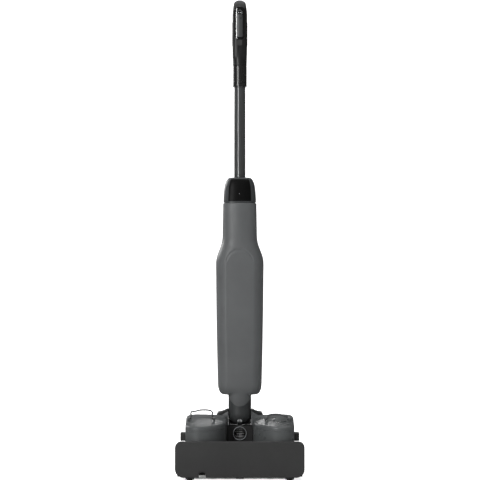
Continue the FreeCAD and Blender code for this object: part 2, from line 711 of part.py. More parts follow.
def rounded_pocket(grow, x0, x1):
    """The latch's outline, seen from the side, as a bar along X."""
    bar = box(x0, x1, LATCH_Y - 12 - grow, LATCH_Y + 12 + grow, LATCH_Z - 10 - grow, LATCH_Z + 10 + grow)
    middle = (x0 + x1) / 2
    return round_edges(bar, 4.0, lambda p: abs(p.x - middle) < 0.01)


def tank_latch():
    knob = rounded_pocket(0.0, 120.0, LATCH_OUT)
    return round_edges(knob, 2.2, lambda p: p.x > LATCH_OUT - 0.1)


BAIL_Y = -44.0
BAIL_RISE = 2.7
BAIL_WIRE = 2.1
BAIL_IN = 65.0
BAIL_OUT = 116.0
BAIL_ARM = 31.0
CAP_X = 108.0
CAP_Y = -74.0
CAP_R = 13.0


def bail_ear(x):
    ear = box(x - 2.2, x + 2.2, BAIL_Y - 4, BAIL_Y + 4, -2, BAIL_RISE)
    ear = ear.fuse(rod_x(4.0, x - 2.2, x + 2.2, BAIL_Y, BAIL_RISE))
    return ear.cut(rod_x(1.55, x - 3, x + 3, BAIL_Y, BAIL_RISE))


def tank_lid(with_filler):
    """Sloping lid with a soft top edge, two ears for the bail and, on the clean tank, a filler neck."""
    lid = tank_block(0, TANK_BOTTOM, 0).cut(tank_block(-1, TANK_BOTTOM - 1, LID_DEEP))
    fall = math.tan(math.radians(TANK_SLOPE))
    near_top = TANK_TOP - 2.5
    lid = round_edges(lid, 7.0, lambda p: p.z > near_top + (p.y - TANK_REAR) * fall)
    cavity = tank_block(TANK_WALL + 4, TANK_BOTTOM, 4.0).cut(tank_block(0, TANK_BOTTOM - 1, LID_DEEP))
    lid = lid.cut(cavity)
    for x in (BAIL_IN - 4.6, BAIL_OUT + 4.6):
        lid = lid.fuse(on_slope(bail_ear(x)))
    if with_filler:
        lid = lid.cut(on_slope(rod_z(CAP_R + 0.5, -2.2, 10, CAP_X - 6, CAP_Y)))
        lid = lid.cut(on_slope(rod_z(CAP_R - 3, -12, 10, CAP_X - 6, CAP_Y)))
    return lid.removeSplitter()


def tank_bail(lift):
    """Wire handle, built lying back along the top and raised about its pivots by lift degrees."""
    step = 7.0
    rise = 4.0
    y_far = BAIL_Y + BAIL_ARM
    middle = (BAIL_IN + BAIL_OUT) / 2
    route = [
        Vector(BAIL_OUT, BAIL_Y, BAIL_RISE),
        Vector(BAIL_OUT, y_far - step, BAIL_RISE),
        Vector(BAIL_OUT - step, y_far, BAIL_RISE),
        Vector(middle + 14, y_far, BAIL_RISE),
        Vector(middle + 6, y_far, BAIL_RISE + rise),
        Vector(middle - 14, y_far, BAIL_RISE + rise),
        Vector(BAIL_IN + step - 1, y_far, BAIL_RISE),
        Vector(BAIL_IN, y_far - step, BAIL_RISE),
        Vector(BAIL_IN, BAIL_Y, BAIL_RISE),
    ]
    pieces = []
    for a, b in zip(route, route[1:]):
        pieces.append(Part.makeCylinder(BAIL_WIRE, (b - a).Length, a, b - a))
        pieces.append(Part.makeSphere(BAIL_WIRE, b))
    pieces.append(Part.makeSphere(BAIL_WIRE, route[0]))
    pieces.append(rod_x(1.5, BAIL_OUT, BAIL_OUT + 6.4, BAIL_Y, BAIL_RISE))
    pieces.append(rod_x(1.5, BAIL_IN - 6.4, BAIL_IN, BAIL_Y, BAIL_RISE))
    bail = fuse_all(pieces)
    bail.rotate(Vector(0, BAIL_Y, BAIL_RISE), Vector(1, 0, 0), lift)
    return on_slope(bail)


def filler_cap():
    """Round flap over the filler neck, with its hinge barrel at the back."""
    x = CAP_X - 6
    cap = rod_z(CAP_R, -2.0, 2.2, x, CAP_Y)
    cap = cap.makeFillet(1.0, [e for e in cap.Edges if e.Length > 60 and e.BoundBox.ZMin > 2])
    plug = rod_z(CAP_R - 4.2, -4.5, -2.0, x, CAP_Y)
    tongue = box(x - 4, x + 4, CAP_Y - CAP_R - 2.5, CAP_Y - CAP_R + 3, 0.4, 2.2)
    hinge = rod_x(1.6, x - 7, x + 7, CAP_Y + CAP_R + 1.4, 2.0)
    arm = box(x - 5, x + 5, CAP_Y + CAP_R - 2, CAP_Y + CAP_R + 1.4, 0.6, 2.2)
    return on_slope(fuse_all([cap, plug, tongue, hinge, arm]))


def debris_strainer():
    """Open basket with a holed floor that catches debris inside the dirty tank."""
    outer = box(60, 106, -92, -52, 80, 114)
    basket = outer.cut(box(61.5, 104.5, -90.5, -53.5, 81.5, 120))
    for i in range(5):
        for j in range(4):
            basket = basket.cut(rod_z(2.0, 79, 83, 66.0 + 8.5 * i, -86.0 + 9.5 * j))
    return basket


# ---------------------------------------------------------------- neck

def neck_shell():
    ball = Part.makeSphere(BALL_R, Vector(0, PIVOT_Y, PIVOT_Z))
    body = ball.fuse(rod_z(BALL_R, PIVOT_Z, NECK_TOP, 0, PIVOT_Y))
    body = body.fuse(rod_z(BALL_R + 3, 216.4, 220, 0, PIVOT_Y))
    inner = BALL_R - NECK_WALL
    cavity = Part.makeSphere(inner, Vector(0, PIVOT_Y, PIVOT_Z))
    cavity = cavity.fuse(rod_z(inner, PIVOT_Z, NECK_TOP + 1, 0, PIVOT_Y))
    barrel = rod_x(9.0, -BALL_R + 2.5, BALL_R - 2.5, PIVOT_Y, PIVOT_Z)
    body = body.cut(cavity).fuse(barrel)
    body = body.cut(rod_x(TILT_PIN_R + RUN, -60, 60, PIVOT_Y, PIVOT_Z))
    return body.cut(button_bar(5.9, BALL_R - 8, BALL_R + 5)).removeSplitter()


BUTTON_DROP = 39.0


def button_bar(radius, start, end):
    """A round bar pointing out of the ball, forward and down."""
    angle = math.radians(BUTTON_DROP)
    out = Vector(0, -math.cos(angle), -math.sin(angle))
    base = Vector(0, PIVOT_Y, PIVOT_Z) + out * start
    return Part.makeCylinder(radius, end - start, base, out)


def neck_button():
    button = button_bar(5.5, BALL_R - 4.0, BALL_R + 1.4)
    tip = [e for e in button.Edges if e.Length > 30 and e.BoundBox.ZMin < 128.0 and e.BoundBox.YMin < -8.5]
    return button.makeFillet(0.8, tip[:1])


def neck_bush():
    ring = rod_z(BALL_R + 4.6, 196, 216, 0, PIVOT_Y)
    return ring.cut(rod_z(BALL_R + RUN, 190, 220, 0, PIVOT_Y))


# ---------------------------------------------------------------- upper body

def tongue():
    """Rounded flap that continues the front shell over the neck."""
    half = 23.4
    centre = 187.4
    band = rod_z(BALL_R + 5.5, 160, 202, 0, PIVOT_Y).cut(rod_z(BALL_R + GAP, 150, 210, 0, PIVOT_Y))
    shape = box(-half, half, -40, PIVOT_Y, centre, 202).fuse(rod_y(half, -40, PIVOT_Y, 0, centre))
    return band.common(shape)


JACK_Z = 246.0
JACK_R = 2.8
FLAP_HALF = 13.0


def body_hollow():
    return oval_loft(body_sections(), BODY_WALL, BODY_LOW + 4.5, BODY_HIGH - 3.5)


def body_front_shell():
    outer = oval_loft(body_sections())
    shell = outer.fuse(tongue()).cut(body_hollow())
    shell = shell.cut(rod_z(BALL_R + GAP, 150, 200, 0, PIVOT_Y))
    shell = shell.cut(rod_z(TUBE_R, 600, 700, 0, PIVOT_Y))
    return shell.common(box(-100, 100, -100, PIVOT_Y, 0, 700))


def body_rear_shell():
    shell = oval_loft(body_sections()).cut(body_hollow())
    shell = shell.cut(rod_z(BALL_R + GAP, 150, 200, 0, PIVOT_Y))
    shell = shell.cut(rod_z(TUBE_R, 600, 700, 0, PIVOT_Y))
    shell = shell.cut(box(-FLAP_HALF - 0.4, FLAP_HALF + 0.4, REAR_FACE - 2.2, 90, JACK_Z - 11, JACK_Z + 11.4))
    shell = shell.cut(rod_y(6.0, 40, 90, 0, JACK_Z))
    return shell.common(box(-100, 100, PIVOT_Y, 100, 0, 700))


REAR_FACE = PIVOT_Y + 38.6


def charging_jack():
    jack = rod_y(6.0, 36, REAR_FACE - 2.3, 0, JACK_Z)
    return jack.cut(rod_y(JACK_R, 38, 90, 0, JACK_Z))


def charging_flap():
    flap = box(-FLAP_HALF, FLAP_HALF, REAR_FACE - 1.9, REAR_FACE + 0.2, JACK_Z - 10.6, JACK_Z + 11)
    flap = round_edges(flap, 2.0, lambda p: abs(p.y - REAR_FACE + 0.85) < 0.01 and p.z > JACK_Z)
    lip = box(-5, 5, REAR_FACE + 0.2, REAR_FACE + 1.2, JACK_Z + 7.5, JACK_Z + 10)
    return flap.fuse(lip).removeSplitter()


def panel_window():
    return rounded_bar_y(-21.5, 21.5, 658, 701.5, -60, PIVOT_Y, 7.0)


def top_cap():
    """Black cap over the body's top, open inside, with the display's recess and the tube's hole."""
    cap = oval_loft(CAP_SECTIONS)
    seam = Part.makeLoft(
        [oval_wire(36.0, 30.0, 649.0, BODY_ROUND, PIVOT_Y), oval_wire(36.0, 30.0, 652.0, BODY_ROUND, PIVOT_Y)],
        True,
        False,
    )
    cap = cap.fuse(seam)
    cap = cap.cut(oval_loft(CAP_SECTIONS, 6.0, None, 700.0))
    cap = cap.cut(panel_window().cut(oval_loft(CAP_SECTIONS, 2.2)))
    return cap.cut(rod_z(TUBE_R, 600, 800, 0, PIVOT_Y)).removeSplitter()


LENS_Z = 671.0


def display_panel():
    panel = panel_window().common(oval_loft(CAP_SECTIONS)).cut(oval_loft(CAP_SECTIONS, 2.2))
    return panel.cut(rod_y(1.9, -60, PIVOT_Y, -1.0, LENS_Z))


def indicator_lenses():
    """Status light in the display and the two small lights in the handle's front."""
    lens = rod_y(1.9, -60, PIVOT_Y, -1.0, LENS_Z).common(oval_loft(CAP_SECTIONS)).cut(oval_loft(CAP_SECTIONS, 2.2))
    lights = [lens]
    for x in (-3.4, 3.6):
        lights.append(rod_y(1.3, TRIM_FRONT - 0.3, LOOP_FRONT, x, 1107.0))
    return Part.makeCompound(lights)


def battery_pack():
    pack = rounded_bar_z(-36, 36, -14, 30, 262, 440, 6.0)
    lip = box(-20, 20, -12, 28, 440, 446)
    return pack.fuse(lip).removeSplitter()


def control_board():
    board = box(-32, 32, 22, 23.6, 456, 590)
    parts = [
        box(-24, -4, 15, 22, 470, 495),
        box(6, 24, 17, 22, 468, 484),
        rod_y(6.0, 10, 22, 12, 510),
        rod_y(6.0, 10, 22, -10, 520),
        box(-20, 20, 18, 22, 540, 552),
        box(-28, 28, 23.6, 26, 462, 500),
    ]
    return fuse_all([board] + parts)


def handle_tube():
    tube = rod_z(TUBE_R, TUBE_LOW, TUBE_HIGH, 0, PIVOT_Y)
    return tube.cut(rod_z(TUBE_R - TUBE_WALL, TUBE_LOW - 1, TUBE_HIGH + 1, 0, PIVOT_Y))


def handle_collar():
    collar = rod_z(COLLAR_R, COLLAR_LOW, COLLAR_HIGH, 0, PIVOT_Y)
    collar = collar.makeFillet(1.4, [e for e in collar.Edges if e.Length > 5 * COLLAR_R])
    groove = rod_z(COLLAR_R + 1, 936.0, 937.2, 0, PIVOT_Y).cut(rod_z(COLLAR_R - 0.7, 930, 940, 0, PIVOT_Y))
    return collar.cut(groove).cut(rod_z(TUBE_R, 900, 1000, 0, PIVOT_Y))


# ---------------------------------------------------------------- handle

GAP_LOW = 1014.0
GAP_HIGH = 1114.0
GAP_FRONT = 23.0
GAP_REAR = 60.0
TRIM_FRONT = LOOP_FRONT - 0.8


def loop_outline(inset):
    """Side view of the handle: upright front, rounded top and back, and a foot over the collar."""
    front = LOOP_FRONT + inset
    rear = LOOP_REAR - inset
    low = LOOP_LOW + inset
    high = LOOP_HIGH - inset
    r1 = 34.0 - inset
    r2 = 30.0 - inset
    r3 = 34.0 - inset
    foot = PIVOT_Y + COLLAR_R + 0.4 - inset
    diagonal = 1 - math.sqrt(0.5)
    return [
        Vector(0, front, low),
        Vector(0, front, high - r1),
        (Vector(0, front + r1 * diagonal, high - r1 * diagonal), Vector(0, front + r1, high)),
        Vector(0, rear - r2, high),
        (Vector(0, rear - r2 * diagonal, high - r2 * diagonal), Vector(0, rear, high - r2)),
        Vector(0, rear, low + r3 + 12),
        (Vector(0, rear - r3 * diagonal, low + 12 + r3 * diagonal), Vector(0, rear - r3, low + 12)),
        (Vector(0, foot + 4, low + 9), Vector(0, foot, low)),
    ]


def finger_gap(grow):
    gap = box(-50, 50, GAP_FRONT - grow, GAP_REAR + grow, GAP_LOW - grow, GAP_HIGH + grow)
    return round_edges(gap, 16.0 + grow, lambda p: abs(p.x) < 0.01)


def handle_loop(grow):
    """The whole handle as one rounded loop, made larger by grow all round."""
    half = LOOP_HALF + grow
    loop = prism(loop_outline(-grow), Vector(-half, 0, 0), Vector(2 * half, 0, 0))
    low = LOOP_LOW + 1
    outer = lambda p: abs(abs(p.x) - half) < 0.01 and p.z > low
    loop = round_edges(loop, LOOP_EDGE, outer)
    loop = loop.cut(finger_gap(-grow))
    edge = lambda p: is_gap_edge(p, half)
    return round_edges(loop, 6.0, edge)


def is_gap_edge(p, half):
    inside_y = GAP_FRONT - 2 < p.y < GAP_REAR + 2
    inside_z = GAP_LOW - 2 < p.z < GAP_HIGH + 2
    return abs(abs(p.x) - half) < 0.01 and inside_y and inside_z


def handle_hollow():
    """Space inside the handle shells, clear of the finger gap's walls."""
    half = LOOP_HALF - 4.5
    hollow = prism(loop_outline(4.5), Vector(-half, 0, 0), Vector(2 * half, 0, 0))
    return hollow.cut(finger_gap(4.5))


POWER_Y = 40.0
MODE_Y = 54.5
RELEASE_Z = 1035.0


def handle_holes():
    return [
        rod_z(TUBE_R, 900, TUBE_HIGH, 0, PIVOT_Y),
        rod_z(7.2, LOOP_HIGH - 8, LOOP_HIGH + 5, 0, POWER_Y),
        rod_z(4.7, LOOP_HIGH - 8, LOOP_HIGH + 5, 0, MODE_Y),
        rounded_bar_y(-6.0, 6.0, RELEASE_Z - 7, RELEASE_Z + 7, -10, 8, 3.0),
    ]


def handle_half(side, whole):
    ends = sorted((0, side * 60))
    return whole.common(box(ends[0], ends[1], -20, 120, 900, 1200))


def grip_pad():
    """Soft layer round the back of the loop, where the hand closes."""
    layer = handle_loop(1.2).cut(handle_loop(0))
    return layer.common(box(-50, 50, 66, 120, 1030, 1104))


def handle_front_trim():
    trim = rounded_bar_y(-7.0, 7.0, 1048, 1121, TRIM_FRONT, LOOP_FRONT, 6.9)
    trim = trim.common(box(-50, 50, -20, 20, 1000, LOOP_HIGH - 20))
    for x in (-3.4, 3.6):
        trim = trim.cut(rod_y(1.3, TRIM_FRONT - 2, TRIM_FRONT + 0.9, x, 1107.0))
    return trim


def power_button():
    stem = rod_z(6.9, LOOP_HIGH - 5, LOOP_HIGH + 1.6, 0, POWER_Y)
    return stem.makeFillet(1.2, [e for e in stem.Edges if e.Length > 40 and e.BoundBox.ZMin > LOOP_HIGH])


def mode_button():
    stem = rod_z(4.4, LOOP_HIGH - 5, LOOP_HIGH + 1.0, 0, MODE_Y)
    return stem.makeFillet(0.8, [e for e in stem.Edges if e.Length > 25 and e.BoundBox.ZMin > LOOP_HIGH])


def release_button():
    return rounded_bar_y(-5.6, 5.6, RELEASE_Z - 6.6, RELEASE_Z + 6.6, LOOP_FRONT - 0.9, LOOP_FRONT + 5, 2.7)


# ---------------------------------------------------------------- all nodes

def build():
    loop = cut_all(handle_loop(0).cut(handle_hollow()), handle_holes())
    shell = tank_shell()
    latch = tank_latch()
    hub = wheel_hub()
    tyre = wheel_tyre()
    return {
        "chassis": chassis(),
        "deck": deck(),
        "yoke_bracket": yoke_bracket(),
        "tilt_pin": tilt_pin(),
        "port_ring": port_ring(),
        "corrugated_boot": corrugated_boot(),
        "drive_motor": drive_motor(),
        "water_pump": water_pump(),
        "drive_belt": drive_belt(),
        "belt_cover": belt_cover(),
        "scraper_holder": scraper_holder(),
        "scraper_blade": scraper_blade(),
        "spray_bar": spray_bar(),
        "wheel_axles": wheel_axles(),
        "head_screws": head_screws(),
        "rear_bumper": rear_bumper(),
        "front_cover": front_cover(),
        "guide_roller_left": guide_roller(-1),
        "guide_roller_right": guide_roller(1),
        "roller_core": roller_core(),
        "roller_sleeve": roller_sleeve(),
        "roller_end_caps": roller_end_caps(),
        "roller_pulley": roller_pulley(),
        "motor_pulley": motor_pulley(),
        "squeeze_roller": squeeze_roller(),
        "wheel_hub_left": mirror_x(hub),
        "wheel_tyre_left": mirror_x(tyre),
        "wheel_hub_right": hub,
        "wheel_tyre_right": tyre,
        "dirty_tank_shell": mirror_x(shell),
        "dirty_tank_lid": mirror_x(tank_lid(False)),
        "dirty_tank_bail": mirror_x(tank_bail(22.0)),
        "dirty_tank_latch": mirror_x(latch),
        "debris_strainer": mirror_x(debris_strainer()),
        "clean_tank_shell": shell,
        "clean_tank_lid": tank_lid(True),
        "clean_tank_bail": tank_bail(0.0),
        "clean_tank_latch": latch,
        "filler_cap": filler_cap(),
        "neck_shell": neck_shell(),
        "neck_button": neck_button(),
        "neck_bush": neck_bush(),
        "body_front_shell": body_front_shell(),
        "body_rear_shell": body_rear_shell(),
        "charging_jack": charging_jack(),
        "charging_flap": charging_flap(),
        "top_cap": top_cap(),
        "display_panel": display_panel(),
        "indicator_lenses": indicator_lenses(),
        "battery_pack": battery_pack(),
        "control_board": control_board(),
        "handle_tube": handle_tube(),
        "handle_collar": handle_collar(),
        "handle_left_shell": handle_half(-1, loop),
        "handle_right_shell": handle_half(1, loop),
        "handle_front_trim": handle_front_trim(),
        "grip_pad": grip_pad(),
        "power_button": power_button(),
        "mode_button": mode_button(),
        "handle_release_button": release_button(),
    }


def main():
    os.makedirs("parts", exist_ok=True)
    for name, shape in build().items():
        print(name, len(shape.Solids), "valid" if shape.isValid() else "NOT VALID", round(shape.Volume / 1000, 1))
        shape.exportStep("parts/" + name + ".step")


main()
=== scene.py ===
import json
from cmath import phase, rect
from math import acos, atan2, copysign, cos, exp, hypot, pi, radians, sin, sqrt, tan

import bmesh
import bpy
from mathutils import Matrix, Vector, noise


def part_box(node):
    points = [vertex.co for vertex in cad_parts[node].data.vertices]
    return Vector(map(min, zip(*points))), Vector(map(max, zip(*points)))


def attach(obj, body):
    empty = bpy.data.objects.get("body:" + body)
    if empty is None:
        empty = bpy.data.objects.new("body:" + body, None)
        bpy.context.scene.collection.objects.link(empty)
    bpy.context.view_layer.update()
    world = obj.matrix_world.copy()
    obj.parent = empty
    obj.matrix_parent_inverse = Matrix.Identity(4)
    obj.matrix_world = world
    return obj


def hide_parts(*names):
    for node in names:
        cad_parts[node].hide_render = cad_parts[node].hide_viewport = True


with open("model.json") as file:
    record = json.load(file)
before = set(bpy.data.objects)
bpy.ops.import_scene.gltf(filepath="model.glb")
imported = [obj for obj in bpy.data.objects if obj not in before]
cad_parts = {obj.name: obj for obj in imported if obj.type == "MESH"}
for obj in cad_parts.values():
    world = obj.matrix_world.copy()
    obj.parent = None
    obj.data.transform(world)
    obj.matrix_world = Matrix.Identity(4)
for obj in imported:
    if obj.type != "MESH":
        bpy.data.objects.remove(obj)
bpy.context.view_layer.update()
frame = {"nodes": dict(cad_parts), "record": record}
NODES = frame["nodes"]

# ---- materials
# Colours are linear.  Lengths are metres, so a texture scale is a count per metre.

def put(node, values):
    """Set some of a node's inputs by name."""
    for name, value in values.items():
        node.inputs[name].default_value = value


def add_node(tree, kind, values, socket=None, source=None):
    """A shader node with inputs set by name and one linked; gives the node's outputs."""
    node = tree.nodes.new("ShaderNode" + kind)
    put(node, values)
    if socket:
        tree.links.new(source, node.inputs[socket])
    return node.outputs


def new_material(name, roughness):
    """A material with its node tree, its shader and object-space coordinates."""
    mat = bpy.data.materials.new(name)
    mat.use_nodes = True
    tree = mat.node_tree
    shader = tree.nodes["Principled BSDF"]
    put(shader, {"Roughness": roughness})
    return mat, tree, shader, add_node(tree, "TexCoord", {})["Object"]


def noise_of(tree, where, scale, detail=3.0, rough=0.55, stretch=None):
    """Noise of a given scale, optionally stretched along an axis."""
    if stretch:
        where = add_node(tree, "Mapping", {"Scale": stretch}, "Vector", where)["Vector"]
    values = {"Scale": scale, "Detail": detail, "Roughness": rough}
    return add_node(tree, "TexNoise", values, "Vector", where)["Fac"]


def spread(tree, value, low, high, start=0.3, end=0.7):
    """A value remapped from start..end to low..high."""
    values = {"From Min": start, "From Max": end, "To Min": low, "To Max": high}
    return add_node(tree, "MapRange", values, "Value", value)["Result"]


def grey(value):
    return (value, value, value)


def shade(colour, factor):
    return tuple(min(1.0, c * factor) for c in colour)


def colour_by(tree, shader, value, dark, light, start=0.35, end=0.65):
    """Base colour that runs from dark to light as a value goes from start to end."""
    ramp = tree.nodes.new("ShaderNodeValToRGB")
    for stop, place, colour in zip(ramp.color_ramp.elements, (start, end), (dark, light)):
        stop.position = place
        stop.color = colour + (1.0,)
    tree.links.new(value, ramp.inputs["Fac"])
    tree.links.new(ramp.outputs["Color"], shader.inputs["Base Color"])


def surface(name, colour, roughness, broad, tones, dents, sheen=None, inputs=None):
    """A material: a broad noise tints it, sheen varies its gloss and dents roughen it.

    The first value of sheen and dents is a noise, or None for the broad one again; a single number
    there is the scale of a cell pattern.
    """
    mat, tree, shader, where = new_material(name, roughness)
    put(shader, inputs or {})
    wide = noise_of(tree, where, *broad)
    colour_by(tree, shader, wide, shade(colour, tones[0]), shade(colour, tones[1]), *tones[2:])

    def pattern(kind):
        if kind is None:
            return wide
        if isinstance(kind, tuple):
            return noise_of(tree, where, *kind)
        return add_node(tree, "TexVoronoi", {"Scale": kind}, "Vector", where)["Distance"]

    if sheen:
        value = spread(tree, pattern(sheen[0]), roughness + sheen[1], roughness + sheen[2], *sheen[3:])
        tree.links.new(value, shader.inputs["Roughness"])
    values = {"Strength": dents[1], "Distance": dents[2]}
    normal = add_node(tree, "Bump", values, "Height", pattern(dents[0]))["Normal"]
    tree.links.new(normal, shader.inputs["Normal"])
    return mat


# Each maker below gives the values that surface() takes after the name.

def moulded(colour, roughness, grain=1400.0, bump=0.18, mottle=0.08, specular=0.5):
    """Moulded plastic: fine spark-eroded grain, faint mottling and uneven sheen."""
    dents = ((grain, 2.0), bump, 0.0003)
    sheen = ((34.0, 5.0, 0.6), -0.05, 0.07)
    inputs = {"Specular IOR Level": specular}
    return colour, roughness, (9.0, 4.0), (1 - mottle, 1 + mottle), dents, sheen, inputs


def gloss(colour, roughness):
    """Polished plastic with a faint orange-peel and hairline smudges."""
    smears = ((30.0, 6.0, 0.65, (1.0, 1.0, 0.35)), 0.0, 0.10, 0.45, 0.75)
    inputs = {"Coat Weight": 0.6, "Coat Roughness": 0.03}
    return colour, roughness, (14.0, 3.0), (0.85, 1.25), ((160.0, 1.0), 0.04, 0.0004), smears, inputs


def brushed(colour, roughness, stretch):
    """Drawn or turned metal with fine lines along one direction."""
    lines = (900.0, 3.0, 0.6, stretch)
    tones = (0.86, 1.12, 0.3, 0.7)
    return colour, roughness, lines, tones, (None, 0.12, 0.0002), (None, -0.06, 0.08), {"Metallic": 1.0}


def coated_tube(colour, roughness):
    """Powder-coated tube: fine pebbled skin and long soft streaks."""
    streaks = (120.0, 3.0, 0.5, (1.0, 1.0, 0.05))
    pebbles = ((2200.0, 2.0), 0.14, 0.0002)
    return colour, roughness, streaks, (0.9, 1.1), pebbles, (None, -0.04, 0.05), {"Metallic": 0.35}


def soft_rubber(colour, roughness=0.72, grain=700.0):
    """Matt rubber with dusty patches and a cellular skin."""
    tones = (0.8, 1.6, 0.42, 0.72)
    inputs = {"Specular IOR Level": 0.35, "Sheen Weight": 0.08}
    return colour, roughness, (26.0, 6.0, 0.65), tones, (grain, 0.16, 0.0003), None, inputs


def lamp_plastic(colour):
    """Frosted light pipe, clear at heart with a cloudy skin."""
    inputs = {"Subsurface Weight": 0.3, "Subsurface Radius": (0.002, 0.002, 0.002)}
    return colour, 0.25, (600.0, 3.0), (0.8, 1.0), (None, 0.1, 0.0002), None, inputs


FINISHES = {
    "charcoal_plastic": moulded((0.094, 0.098, 0.100), 0.44),
    "tank_plastic": moulded((0.080, 0.085, 0.086), 0.30, grain=1800.0, bump=0.12),
    "tank_matt": moulded((0.080, 0.085, 0.086), 0.43, grain=1800.0, bump=0.12),
    "cover_plastic": moulded(grey(0.031), 0.56, grain=1100.0, bump=0.3),
    "black_plastic": moulded(grey(0.014), 0.5),
    "handle_black": moulded(grey(0.012), 0.38, specular=0.34),
    "collar_black": moulded(grey(0.013), 0.25, specular=0.6),
    "panel_black": moulded(grey(0.004), 0.40, specular=0.12),
    "neck_plastic": moulded((0.042, 0.045, 0.046), 0.42),
    "cap_grey": moulded((0.042, 0.045, 0.047), 0.4),
    "trim_grey": moulded((0.045, 0.047, 0.048), 0.3),
    "satin_grey": moulded((0.24, 0.25, 0.26), 0.34, mottle=0.05),
    "satin_light": moulded((0.42, 0.43, 0.43), 0.32, mottle=0.05),
    "boot_rubber": moulded(grey(0.20), 0.30, grain=900.0),
    "battery": moulded((0.02, 0.045, 0.14), 0.3, mottle=0.15),
    "circuit_board": moulded((0.01, 0.10, 0.04), 0.35, grain=300.0, mottle=0.3),
    "gloss_black": gloss(grey(0.006), 0.08),
    "tube_metal": coated_tube((0.070, 0.072, 0.073), 0.24),
    "steel": brushed((0.52, 0.52, 0.53), 0.3, (0.02, 1.0, 1.0)),
    "rubber": soft_rubber(grey(0.014)),
    "tyre": soft_rubber(grey(0.018), 0.8, 420.0),
    "microfibre": soft_rubber((0.66, 0.66, 0.65), 0.9, 900.0),
    "lens": lamp_plastic((0.72, 0.76, 0.78)),
}
MATERIALS = {name: surface(name, *values) for name, values in FINISHES.items()}

# Finishes that vary a slot of the record, and the one solid that takes such a finish.
NODE_FINISH = {"handle_collar": "collar_black"}


def paint(obj, finish):
    obj.data.materials.clear()
    obj.data.materials.append(MATERIALS[finish])


def paint_cad_nodes():
    for entry in frame["record"]["subparts"]:
        paint(NODES[entry["node"]], NODE_FINISH.get(entry["node"], entry["material_slot"]))


# ---- numbers and outlines

def ease(value):
    """0 to 1 with soft ends."""
    value = min(1.0, max(0.0, value))
    return value * value * (3 - 2 * value)


def mix(low, high, share):
    return low + (high - low) * share


def shares(count):
    """Even steps from 0 to 1, both ends included."""
    return [i / count for i in range(count + 1)]


def soft_lower(a, b, width):
    """The lower of two values, rounded where they cross."""
    share = max(0.0, min(1.0, 0.5 + 0.5 * (b - a) / width))
    return mix(b, a, share) - width * share * (1 - share)


def soft_upper(a, b, width):
    return -soft_lower(-a, -b, width)


def squared(value, power):
    """Keeps the sign of a sine or cosine and raises it, for ovals squarer than an ellipse."""
    return copysign(abs(value) ** power, value)


def pillow(edge):
    """Height of a rounded edge: 0 at its foot, 1 where the edge's share is 1."""
    return sqrt(max(0.0, edge * (2 - edge)))


def between(table, key):
    """The values of a table at one key; each row is a key and its values."""
    last = table[0]
    for entry in table[1:]:
        if key <= entry[0]:
            share = (key - last[0]) / (entry[0] - last[0])
            return [mix(a, b, share) for a, b in zip(last[1:], entry[1:])]
        last = entry
    return last[1:]


def arc(x, y, radius, start, end, steps):
    """Points on an arc about a middle, between two angles given in quarter turns."""
    angles = [pi / 2 * mix(start, end, share) for share in shares(steps)]
    return [(x + radius * cos(a), y + radius * sin(a)) for a in angles]


def circle(radius, steps=48, centre=(0.0, 0.0)):
    return arc(*centre, radius, 0, 4, steps)[:-1]


def rounded_box(low, high, radii, steps=14):
    """Points round a box in the YZ plane with a radius for each corner, from the front top, going back."""
    points = []
    for quarter, radius in zip((2, 1, 0, -1), radii):
        y = low[0] + radius if quarter in (2, -1) else high[0] - radius
        z = high[1] - radius if quarter > 0 else low[1] + radius
        points += arc(y, z, radius, quarter, quarter - 1, steps)
    return points


def ray_length(points, origin, angle):
    """How far a ray from the origin travels to the farthest side of a closed outline."""
    dy = cos(angle)
    dz = sin(angle)
    best = 0.0
    for (y0, z0), (y1, z1) in zip(points, points[1:] + points[:1]):
        ey = y1 - y0
        ez = z1 - z0
        cross = dy * ez - dz * ey
        if abs(cross) < 1e-12:
            continue
        ry = y0 - origin[0]
        rz = z0 - origin[1]
        along = (ry * ez - rz * ey) / cross
        share = (ry * dz - rz * dy) / cross
        if along > 0 and -1e-9 <= share <= 1 + 1e-9:
            best = max(best, along)
    return best


# ---- mesh helpers

def smooth_by_angle(obj, degrees):
    """Shade smooth across shallow folds and keep real edges crisp."""
    limit = cos(radians(degrees))
    bm = bmesh.new()
    bm.from_mesh(obj.data)
    for face in bm.faces:
        face.smooth = True
    for edge in bm.edges:
        pair = edge.link_faces
        edge.smooth = len(pair) == 2 and pair[0].normal.dot(pair[1].normal) > limit
    bm.to_mesh(obj.data)
    bm.free()


def plain_mesh(name, verts, faces):
    """A mesh object in the scene, with its faces turned outwards."""
    mesh = bpy.data.meshes.new(name)
    mesh.from_pydata(verts, [], faces)
    bm = bmesh.new()
    bm.from_mesh(mesh)
    bmesh.ops.recalc_face_normals(bm, faces=bm.faces)
    bm.to_mesh(mesh)
    bm.free()
    obj = bpy.data.objects.new(name, mesh)
    bpy.context.scene.collection.objects.link(obj)
    return obj


def new_piece(name, verts, faces, body, finish, smooth=35.0):
    """A mesh object that rides on a body and takes its material from a finish."""
    piece = plain_mesh(name, verts, faces)
    smooth_by_angle(piece, smooth)
    paint(piece, finish)
    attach(piece, body)
    return piece


def grid_faces(rows, columns, start=0, wrap=False):
    faces = []
    for r in range(rows - 1):
        for c in range(columns if wrap else columns - 1):
            a = start + r * columns + c
            b = start + r * columns + (c + 1) % columns
            faces.append((a, b, b + columns, a + columns))
    return faces


def ring_loop(rings):
    """Vertices and faces of a closed tube: rings of points whose last one joins the first."""
    count = len(rings[0])
    last = (len(rings) - 1) * count
    faces = grid_faces(len(rings), count, wrap=True)
    faces += [(last + i, last + (i + 1) % count, (i + 1) % count, i) for i in range(count)]
    return [p for ring in rings for p in ring], faces


